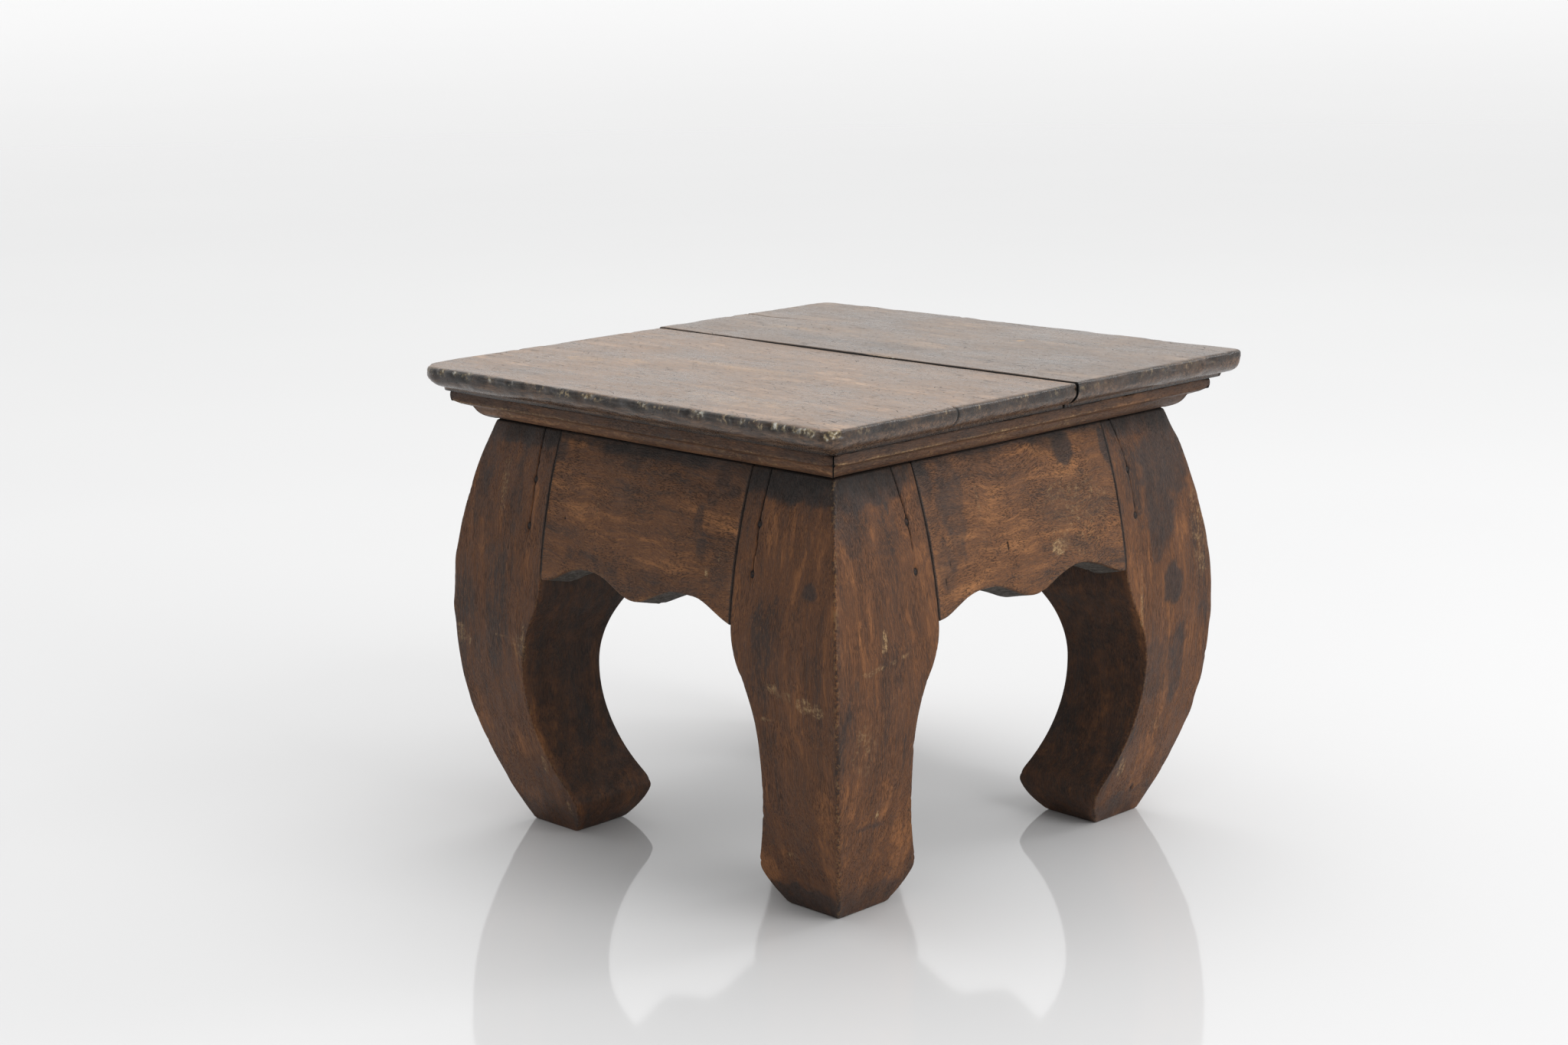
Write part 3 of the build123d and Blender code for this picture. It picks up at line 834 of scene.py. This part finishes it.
def make_nails(corner, side_x, side_y, seed):
    """Hand-forged nails: a battered head sunk a little in the wood and a square tapered shank."""
    vertices, faces = [], []
    for nail, (face, height) in enumerate((f, h) for f in (0, 1) for h in NAIL_HEIGHTS):
        along = NAIL_REACH + EXTRA_Y * face
        reach = float(outer_reach(height)) + EXTRA_Y * (1 - face)
        base = len(vertices)
        for ring, (radius, depth) in enumerate(NAIL_RINGS):
            squareness = min(1.0, max(0.25, ring / 5 - 0.3))
            inward = (NAIL_SUNK + depth) * MM
            for k in range(NAIL_SIDES):
                a = 2 * math.pi * k / NAIL_SIDES
                to_square = 1 / max(abs(math.cos(a)), abs(math.sin(a))) - 1
                r = radius * NAIL_HALF * MM * (1 + to_square * squareness)
                r *= 1 + 0.1 * math.sin(2 * a + seed + nail * 1.7) + 0.06 * math.sin(5 * a + nail)
                across, rise = r * math.cos(a), r * math.sin(a) * 1.1
                out = reach - inward * math.cos(LEAN) - rise * math.sin(LEAN)
                z = height - inward * math.sin(LEAN) + rise * math.cos(LEAN)
                x, y = (out, along + across) if face else (along + across, out)
                vertices.append((side_x * x, side_y * y, z))
        tip = base + (len(NAIL_RINGS) - 1) * NAIL_SIDES
        nail_faces = [tuple(range(tip, tip + NAIL_SIDES))]
        for start in range(base, tip, NAIL_SIDES):
            for k in range(NAIL_SIDES):
                a, b = start + k, start + (k + 1) % NAIL_SIDES
                nail_faces.append((a, b, b + NAIL_SIDES, a + NAIL_SIDES))
        turned = (face == 0) != (side_x * side_y > 0)
        faces += [quad[::-1] if turned else quad for quad in nail_faces]
    return make_piece("nails_" + corner + "_iron", np.array(vertices), faces, "nails_" + corner)


# ---------------------------------------------------------------- materials
INK = (0.004, 0.0035, 0.003)


class Shader:
    """The nodes of a material or world, added one by one. A socket is linked, anything else is set."""

    def __init__(self, owner):
        owner.use_nodes = True
        self.owner = owner
        self.tree = owner.node_tree
        self.tree.nodes.clear()
        coordinates = self.add("ShaderNodeTexCoord")
        self.place = coordinates.outputs["Object"]
        self.direction = coordinates.outputs["Generated"]

    def add(self, kind, inputs=None, **settings):
        node = self.tree.nodes.new(kind)
        for key, value in settings.items():
            setattr(node, key, value)
        for key, value in (inputs or {}).items():
            if isinstance(value, bpy.types.NodeSocket):
                self.tree.links.new(value, node.inputs[key])
            else:
                node.inputs[key].default_value = value
        return node

    def math(self, operation, a, b):
        return self.add("ShaderNodeMath", {0: a, 1: b}, operation=operation).outputs[0]

    def times(self, a, b):
        return self.math("MULTIPLY", a, b)

    def mask(self, name):
        return self.add("ShaderNodeAttribute", attribute_name=name).outputs["Fac"]

    def ramp(self, value, low, high, start=0.0, end=1.0):
        inputs = {"Value": value, "From Min": low, "From Max": high, "To Min": start, "To Max": end}
        return self.add("ShaderNodeMapRange", inputs, interpolation_type="SMOOTHSTEP").outputs["Result"]

    def moved(self, vector, offset):
        return self.add("ShaderNodeVectorMath", {0: vector, 1: offset}, operation="ADD").outputs[0]

    def scaled(self, vector, scale):
        return self.add("ShaderNodeMapping", {"Vector": vector, "Scale": scale}).outputs["Vector"]

    def turned(self, vector, angle):
        return self.add("ShaderNodeMapping", {"Vector": vector, "Rotation": (0, 0, angle)}).outputs["Vector"]

    def noise(self, vector, scale, detail=3.0, roughness=0.55):
        inputs = {"Vector": vector, "Scale": scale, "Detail": detail, "Roughness": roughness}
        return self.add("ShaderNodeTexNoise", inputs).outputs["Fac"]

    def grain(self, vector, scale, detail=4.0, roughness=0.6):
        """Noise drawn out along one axis."""
        return self.noise(self.scaled(vector, scale), 1.0, detail, roughness)

    def warp(self, vector, size, amount):
        wobble = self.add("ShaderNodeTexNoise", {"Vector": vector, "Scale": 1 / size, "Detail": 2.0})
        middle = {0: wobble.outputs["Color"], 1: (0.5, 0.5, 0.5)}
        centred = self.add("ShaderNodeVectorMath", middle, operation="SUBTRACT")
        scaled = {0: centred.outputs[0], "Scale": amount}
        return self.moved(vector, self.add("ShaderNodeVectorMath", scaled, operation="SCALE").outputs[0])

    def mix(self, factor, a, b):
        node = self.add("ShaderNodeMix", {0: factor}, data_type="RGBA", clamp_factor=True)
        for index, value in ((6, a), (7, b)):
            if isinstance(value, bpy.types.NodeSocket):
                self.tree.links.new(value, node.inputs[index])
            else:
                node.inputs[index].default_value = (*value, 1.0)
        return node.outputs[2]

    def bump(self, height, distance):
        inputs = {"Height": height, "Distance": distance, "Strength": 1.0}
        return self.add("ShaderNodeBump", inputs).outputs["Normal"]

    def surface(self, **inputs):
        names = {key.replace("_", " "): value for key, value in inputs.items()}
        shader = self.add("ShaderNodeBsdfPrincipled", names)
        self.add("ShaderNodeOutputMaterial", {"Surface": shader.outputs[0]})
        return self.owner

    def blend(self, *parts):
        """Weighted sum of values, from pairs of (weight, value)."""
        total = 0.0
        for weight, value in parts:
            inputs = {0: value, 1: weight, 2: total}
            total = self.add("ShaderNodeMath", inputs, operation="MULTIPLY_ADD").outputs[0]
        return total

    def tones(self, value, stops):
        """Colour ramp from (place, colour) stops."""
        node = self.add("ShaderNodeValToRGB", {"Fac": value})
        ramp = node.color_ramp
        while len(ramp.elements) < len(stops):
            ramp.elements.new(0.5)
        for element, (place, colour) in zip(ramp.elements, stops):
            element.position = place
            element.color = (*colour, 1.0)
        return node.outputs["Color"]

    def ragged(self, name, place, scale, amount, low, high):
        """A painted mask with its edge broken up by noise."""
        rough = self.math("SUBTRACT", self.noise(place, scale, 4.0, 0.62), 0.5)
        return self.ramp(self.blend((1.0, self.mask(name)), (amount, rough)), low, high)


def stretch(axis, along, across):
    return tuple(along if k == axis else across for k in range(3))


def tint(colour, factor):
    return tuple(c * factor for c in colour)


def wood(name, axis, dark, mid, light, seed, curl=1.0, fleck=0.7, pore=480):
    """Old stained hardwood: soft bands, streaks, open pores, stains, rubbed spots and dirt; the same masks
    also lay painted shade and painted light on some pieces.
    """
    s = Shader(bpy.data.materials.new(name))
    place = s.moved(s.place, (seed, seed * 0.7, seed * 0.3))
    bent = s.warp(s.warp(place, 0.045, 0.014 * curl), 0.013, 0.0013 * curl)
    broad = s.grain(place, stretch(axis, 12, 38))
    bands = s.grain(bent, stretch(axis, 11, 110), 5.0)
    streaks = s.grain(bent, stretch(axis, 45, 560), 4.0, 0.62)
    fibres = s.grain(bent, stretch(axis, 260, 1700), 3.0)
    dashes = s.grain(bent, stretch(axis, pore, 1900), 2.0, 0.55)
    tone = s.blend((0.36, broad), (0.4, bands), (0.24, streaks))
    colour = s.tones(tone, [(0.405, dark), (0.475, tint(mid, 0.8)), (0.53, mid), (0.62, light)])
    colour = s.mix(s.ramp(fibres, 0.48, 0.72, 0, 0.4), colour, light)
    # rubbed spots, where the staining has gone in flecks; on the mouldings the same mask lays a painted
    # highlight along the fascia's arris and painted bounce light on the cove
    rub = s.ragged("rub", bent, 320, 1.5, 0.15, 1.05)
    rub = s.times(rub, s.ramp(s.noise(bent, 640, 3.0, 0.7), 0.45, 0.57, 0.25, 0.85))
    bared = s.mix(s.ramp(streaks, 0.4, 0.6), (0.2, 0.1, 0.042), (0.42, 0.28, 0.135))
    colour = s.mix(rub, colour, bared)
    # open pores, thicker in some patches than in others
    patch = s.ramp(s.noise(place, 55, 3.0, 0.6), 0.35, 0.65, 0.35, 1.0)
    pores = s.times(s.ramp(dashes, 0.5, 0.6), patch)
    colour = s.mix(s.times(pores, fleck), colour, tint(dark, 0.6))
    # stains and dirt, which let the fibres show; these masks also hold painted shade on the legs' inner
    # faces, under the moulding and on the fascia
    between = s.ramp(fibres, 0.4, 0.6)
    stain = s.ragged("stain", place, 130, 1.1, 0.05, 0.95)
    stain_colour = s.mix(between, (0.014, 0.009, 0.008), (0.04, 0.024, 0.018))
    colour = s.mix(s.times(stain, 0.85), colour, stain_colour)
    grime = s.ragged("grime", place, 150, 0.9, 0.2, 1.0)
    soot_colour = s.mix(between, (0.009, 0.007, 0.0065), (0.022, 0.016, 0.013))
    colour = s.mix(s.times(grime, 0.92), colour, soot_colour)
    # worn arrises, pale and dark in turn
    wear = s.mask("wear")
    fine = s.noise(place, 620, 3.0, 0.6)
    colour = s.mix(s.times(wear, s.ramp(fine, 0.53, 0.61, 0, 0.6)), colour, (0.22, 0.13, 0.055))
    colour = s.mix(s.times(wear, s.ramp(fine, 0.47, 0.4, 0, 0.85)), colour, (0.012, 0.009, 0.008))
    # unstained sawn wood, in greys darkened as painted shade for the aprons' shadowed undersides and inner
    # faces
    raw = s.mask("raw")
    saw = s.grain(place, stretch(axis, 900, 240), 3.0)
    greys = [(0.42, (0.03, 0.025, 0.02)), (0.52, (0.075, 0.065, 0.055)), (0.62, (0.14, 0.125, 0.11))]
    colour = s.mix(raw, colour, s.tones(s.blend((0.5, saw), (0.5, fibres)), greys))
    crack = s.ramp(s.mask("crack"), 0.15, 0.6)
    colour = s.mix(crack, colour, INK)
    fuzz = s.noise(place, 900)
    height = s.blend((0.5, streaks), (0.4, fibres), (-0.6, pores), (0.3, fuzz), (0.8, s.times(raw, saw)))
    sheen = s.ramp(s.blend((0.5, streaks), (0.5, broad)), 0.38, 0.62, 0.4, 0.58)
    rough = s.blend((1.0, sheen), (0.12, grime), (0.15, pores), (0.25, raw), (0.3, crack))
    normal = s.bump(height, 0.0002)
    return s.surface(Base_Color=colour, Roughness=rough, Normal=normal, Specular_IOR_Level=0.35)


def seat_marks(s, place):
    """Fine scratches in three directions, and pits."""
    marks = s.ramp(s.grain(place, (500, 700, 700), 1.0, 0.5), 0.7, 0.76)
    patch = s.ramp(s.noise(place, 38, 2.0), 0.4, 0.6, 0.25, 1.0)
    for angle, sparse in ((0.0, 0.665), (0.7, 0.715), (-1.1, 0.73)):
        turned = s.turned(s.warp(place, 0.03, 0.012), angle)
        lines = s.ramp(s.grain(turned, (80, 900, 900), 1.5, 0.5), sparse, sparse + 0.05)
        marks = s.math("MAXIMUM", marks, s.times(lines, patch))
    return marks


def seat_edge(s, place, broad, streaks, fibres):
    """Colour of the seat's dark polished edge, a little browner in a band below."""
    tone = s.blend((0.4, broad), (0.35, s.noise(place, 150, 4.0, 0.65)), (0.25, streaks))
    stops = [
        (0.4, (0.011, 0.008, 0.007)), (0.48, (0.027, 0.017, 0.0125)),
        (0.54, (0.052, 0.03, 0.018)), (0.62, (0.1, 0.057, 0.031)),
    ]
    band = s.ragged("band", s.scaled(place, (1, 1, 3)), 90, 0.8, 0.2, 0.9)
    brown = s.mix(s.ramp(streaks, 0.42, 0.6), (0.06, 0.034, 0.021), (0.17, 0.1, 0.06))
    colour = s.mix(s.times(band, 0.75), s.tones(tone, stops), brown)
    return s.mix(s.ramp(fibres, 0.45, 0.65, 0, 0.6), colour, (0.013, 0.0095, 0.008))


def seat_wood(name, dark, mid, light, seed):
    """The seat's worn face, and the dark polished edge round it."""
    s = Shader(bpy.data.materials.new(name))
    place = s.moved(s.place, (seed, seed * 0.6, 0))
    bent = s.warp(place, 0.05, 0.009)
    broad = s.grain(place, (18, 32, 32), 5.0, 0.62)
    bands = s.grain(bent, (14, 120, 120))
    streaks = s.grain(bent, (55, 620, 620), 4.0, 0.64)
    fibres = s.grain(bent, (240, 1600, 1600), 3.0)
    specks = s.grain(place, (420, 700, 700), 4.0, 0.7)
    tone = s.blend((0.36, broad), (0.24, bands), (0.2, streaks), (0.2, specks))
    colour = s.tones(tone, [(0.39, dark), (0.47, tint(mid, 0.8)), (0.53, mid), (0.6, light)])
    colour = s.mix(s.ramp(fibres, 0.5, 0.66, 0, 0.45), colour, dark)
    stain = s.ragged("stain", place, 110, 1.2, 0.1, 1.0)
    colour = s.mix(s.times(stain, 0.6), colour, tint(dark, 0.6))
    rub = s.ragged("rub", place, 160, 1.3, 0.1, 1.0)
    colour = s.mix(s.times(rub, 0.6), colour, (0.44, 0.255, 0.1))
    marks = seat_marks(s, place)
    colour = s.mix(s.times(marks, 0.85), colour, (0.015, 0.012, 0.011))
    colour = s.mix(s.times(s.mask("dent"), 0.75), colour, (0.02, 0.016, 0.014))
    edge = s.ragged("edge", place, 260, 0.6, 0.3, 0.75)
    colour = s.mix(edge, colour, seat_edge(s, place, broad, streaks, fibres))
    grime = s.ragged("grime", place, 200, 0.7, 0.3, 0.9)
    colour = s.mix(s.times(grime, 0.85), colour, (0.014, 0.011, 0.01))
    # painted glints (pale painted highlights) and dark notches along the arris
    wear = s.mask("wear")
    fine = s.grain(place, (520, 520, 300), 3.0, 0.62)
    worn_here = s.ramp(s.noise(place, 75, 3.0, 0.6), 0.48, 0.62)
    glints = s.times(worn_here, s.ramp(fine, 0.52, 0.6, 0, 0.85))
    colour = s.mix(s.times(wear, glints), colour, (0.34, 0.26, 0.15))
    notches = s.ramp(s.grain(place, (150, 150, 110), 4.0, 0.65), 0.53, 0.45, 0, 0.8)
    colour = s.mix(s.times(wear, notches), colour, (0.01, 0.008, 0.007))
    # chips down to bare wood
    bare = s.ragged("bare", place, 300, 1.6, 0.25, 0.95)
    bare_stops = [
        (0.42, (0.03, 0.022, 0.013)), (0.48, (0.17, 0.12, 0.06)),
        (0.55, (0.42, 0.34, 0.2)), (0.6, (0.72, 0.7, 0.62)),
    ]
    colour = s.mix(s.times(bare, 0.9), colour, s.tones(s.noise(place, 330, 4.0, 0.6), bare_stops))
    crack = s.ramp(s.mask("crack"), 0.15, 0.6)
    colour = s.mix(crack, colour, INK)
    height = s.blend((0.4, streaks), (0.35, fibres), (0.5, specks), (-1.3, marks))
    sheen = s.ramp(s.blend((0.5, broad), (0.5, specks)), 0.36, 0.64, 0.23, 0.42)
    rough = s.blend((1.0, sheen), (0.2, marks), (0.3, crack), (0.2, bare), (-0.03, edge), (-0.06, wear))
    return s.surface(Base_Color=colour, Roughness=rough, Normal=s.bump(height, 0.00018))


def iron():
    """Black forged iron with rust."""
    s = Shader(bpy.data.materials.new("nail_iron"))
    rust = s.ramp(s.noise(s.place, 1400, 4.0, 0.7), 0.5, 0.64)
    colour = s.mix(rust, (0.018, 0.017, 0.017), (0.07, 0.03, 0.016))
    normal = s.bump(s.noise(s.place, 2200, 4.0, 0.65), 0.00025)
    rough = s.ramp(s.noise(s.place, 900), 0.3, 0.7, 0.45, 0.75)
    return s.surface(Base_Color=colour, Roughness=rough, Normal=normal, Metallic=0.6)


def floor_white():
    """Pale floor, a little shiny."""
    s = Shader(bpy.data.materials.new("floor_white"))
    colour = s.mix(s.noise(s.place, 1.3, 3.0, 0.5), (0.62, 0.62, 0.625), (0.67, 0.67, 0.67))
    return s.surface(Base_Color=colour, Roughness=0.06, Specular_IOR_Level=0.36)


def put_material(piece, material):
    piece.data.materials.clear()
    piece.data.materials.append(material)


# ---------------------------------------------------------------- build the stool
# Dark, middle and light colour of each wood.
LEG_TONES = (0.034, 0.0135, 0.0056), (0.112, 0.0415, 0.013), (0.255, 0.101, 0.032)
APRON_TONES = (0.044, 0.018, 0.0075), (0.14, 0.055, 0.0185), (0.31, 0.132, 0.045)
MOULDING_TONES = (0.036, 0.0165, 0.0085), (0.1, 0.043, 0.018), (0.24, 0.112, 0.048)
WIDE_TONES = (0.066, 0.04, 0.026), (0.205, 0.126, 0.077), (0.37, 0.24, 0.155)
NARROW_TONES = (0.054, 0.036, 0.026), (0.155, 0.103, 0.07), (0.28, 0.195, 0.135)
PEG_TONES = (0.12, 0.075, 0.04), (0.24, 0.16, 0.09), (0.36, 0.26, 0.16)

leg_wood = wood("leg_wood", 2, *LEG_TONES, seed=0.31, curl=0.8, fleck=0.55, pore=170)
apron_woods = {
    "x": wood("apron_wood_x", 0, *APRON_TONES, seed=0.83, curl=1.1, fleck=0.75),
    "y": wood("apron_wood_y", 1, *APRON_TONES, seed=0.47, curl=1.1, fleck=0.75),
}
moulding_woods = {
    "x": wood("moulding_wood_x", 0, *MOULDING_TONES, seed=0.12, curl=0.5, fleck=0.5),
    "y": wood("moulding_wood_y", 1, *MOULDING_TONES, seed=0.57, curl=0.5, fleck=0.5),
}
nail_iron = iron()
peg_wood = wood("peg_wood", 2, *PEG_TONES, seed=0.9)

for number, (corner, (side_x, side_y)) in enumerate(CORNERS.items()):
    put_material(make_leg(corner, side_x, side_y, 11 + 20 * number), leg_wood)
    put_material(make_nails(corner, side_x, side_y, number), nail_iron)

for number, side in enumerate(SIDES):
    grain = "x" if side in ("front", "back") else "y"
    put_material(make_apron(side, 101 + 20 * number), apron_woods[grain])
    put_material(make_moulding(side, 201 + 20 * number), moulding_woods[grain])

# Each board: its seam, its side of the seam, its top and its seed. Marks on it are in mm: (x, y, half
# length, half width, strength).
wide_board = (SEAM_WIDE, -1, WIDE_TOP, 301)
wide = make_board("seat_board_wide", *wide_board, dense_rows=[(67.2 * MM, 69.8 * MM)])
finish_board(
    wide,
    *wide_board,
    cracks=[(151 * MM, 143 * MM, -68.5 * MM, 0.4 * MM, 0.8 * MM)],
    smudges=[
        (-46, -76, 16, 6, 0.5), (30, -98, 30, 5, 0.35), (-91, -119, 10, 3, 0.6), (95, -56, 7, 1.2, 0.7),
    ],
    rubs=[
        (-96, -82, 13, 6, 0.42), (-70, -70, 10, 4, 0.45), (-11, -53, 40, 6, 0.35), (60, -120, 40, 12, 0.3),
    ],
    bare=[
        (146, -148, 6, 5, 1.0), (131, -151, 9, 3, 0.75), (116, -151, 6, 3, 0.6), (-146, -149, 8, 6, 0.55),
        (-131, -151, 8, 2.5, 0.5), (-112, -151, 7, 2.2, 0.5), (-88, -151, 6, 2, 0.45),
        (-70, -151, 5, 2, 0.5), (-16, -151, 6, 2, 0.55), (24, -151, 5, 2, 0.5), (62, -151, 6, 2, 0.55),
        (90, -151, 5, 2, 0.5),
    ],
)
narrow_board = (SEAM_NARROW, 1, SEAT_TOP, 331)
narrow = make_board("seat_board_narrow", *narrow_board, dense_rows=[(81 * MM, 94 * MM)])
finish_board(
    narrow,
    *narrow_board,
    cracks=[(-151 * MM, -98 * MM, 85 * MM, 0.45 * MM, 1.6 * MM)],
    smudges=[
        (-50, 40, 24, 9, 0.5), (0, 43, 26, 10, 0.5), (-7, 54.5, 8, 1.0, 0.8), (70, 90, 30, 10, 0.35),
        (110, 60, 20, 8, 0.35),
    ],
    rubs=[(41.5, 102.5, 2.2, 2.4, 1.0), (-90, 60, 20, 6, 0.3)],
    bare=[(19, 18, 11, 2.2, 0.8)],
)
put_material(wide, seat_wood("seat_wood_wide", *WIDE_TONES, seed=0.21))
put_material(narrow, seat_wood("seat_wood_narrow", *NARROW_TONES, seed=0.66))

for node, material in (("seat_pegs", peg_wood), ("seam_dowels", peg_wood), ("moulding_nails", nail_iron)):
    put_material(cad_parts[node], material)

# ---------------------------------------------------------------- floor, light and camera
FLOOR_SIZE = 60
bpy.ops.mesh.primitive_plane_add(size=FLOOR_SIZE, location=(0, 0, 0))
floor = bpy.context.object
floor.name = "floor"
put_material(floor, floor_white())

world = bpy.data.worlds.new("studio")
bpy.context.scene.world = world
sky = Shader(world)


def facing(towards, low, high, start, end):
    """World brightness that rises from start to end as the direction turns towards a vector."""
    dot = sky.add("ShaderNodeVectorMath", {0: sky.direction, 1: towards}, operation="DOT_PRODUCT")
    return sky.ramp(dot.outputs["Value"], low, high, start, end)


# The studio's walls: a bright one to the left and behind, and a weaker one to the right.
left_wall = facing((-0.66, 0.66, 0.35), -0.35, 0.6, 0.42, 1.0)
right_wall = facing((0.9, 0.1, 0.42), 0.1, 0.9, 0.0, 0.3)
brightness = {"Color": (1.0, 1.0, 1.0, 1.0), "Strength": sky.math("ADD", left_wall, right_wall)}
sky.add("ShaderNodeOutputWorld", {"Surface": sky.add("ShaderNodeBackground", brightness).outputs[0]})


def stand(thing, right, above, back, place):
    """Places a lamp or camera by its own three axes."""
    rows = [[right[k], above[k], back[k], place[k]] for k in range(3)]
    thing.matrix_world = Matrix(rows + [[0, 0, 0, 1]])


def softbox(name, place, target, size, watts):
    data = bpy.data.lights.new(name, "AREA")
    data.shape = "SQUARE"
    data.size = size
    data.energy = watts
    lamp = bpy.data.objects.new(name, data)
    bpy.context.scene.collection.objects.link(lamp)
    back = np.subtract(place, target)
    back /= np.linalg.norm(back)
    right = np.cross((0, 0, 1), back)
    right /= np.linalg.norm(right)
    stand(lamp, right, np.cross(back, right), back, place)


softbox("key_right", (2.3, 0.3, 1.5), (0, 0, 0.12), 1.4, 28)
softbox("back_right", (1.1, 1.7, 1.6), (0, 0, 0.24), 0.5, 6)
softbox("overhead", (-0.3, 0.5, 3.0), (-0.05, 0.05, 0), 2.6, 36)

CAMERA_PLACE = (0.96388, -0.98238, 0.45775)
CAMERA_LENS = 62.245
CAMERA_SENSOR = 36.0
azimuth, pitch, roll = (math.radians(a) for a in (45.4855, 12.2697, -1.0085))
camera_data = bpy.data.cameras.new("camera")
camera_data.sensor_width = CAMERA_SENSOR
camera_data.sensor_fit = "HORIZONTAL"
camera_data.lens = CAMERA_LENS
camera = bpy.data.objects.new("camera", camera_data)
bpy.context.scene.collection.objects.link(camera)
bpy.context.scene.camera = camera
level = np.array([math.cos(azimuth), math.sin(azimuth), 0.0])
back = np.array([math.sin(azimuth) * math.cos(pitch), -math.cos(azimuth) * math.cos(pitch), math.sin(pitch)])
above = np.cross(back, level)
rolled_right = math.cos(roll) * level + math.sin(roll) * above
rolled_above = math.cos(roll) * above - math.sin(roll) * level
stand(camera, rolled_right, rolled_above, back, CAMERA_PLACE)

bpy.context.scene.view_settings.view_transform = "Standard"
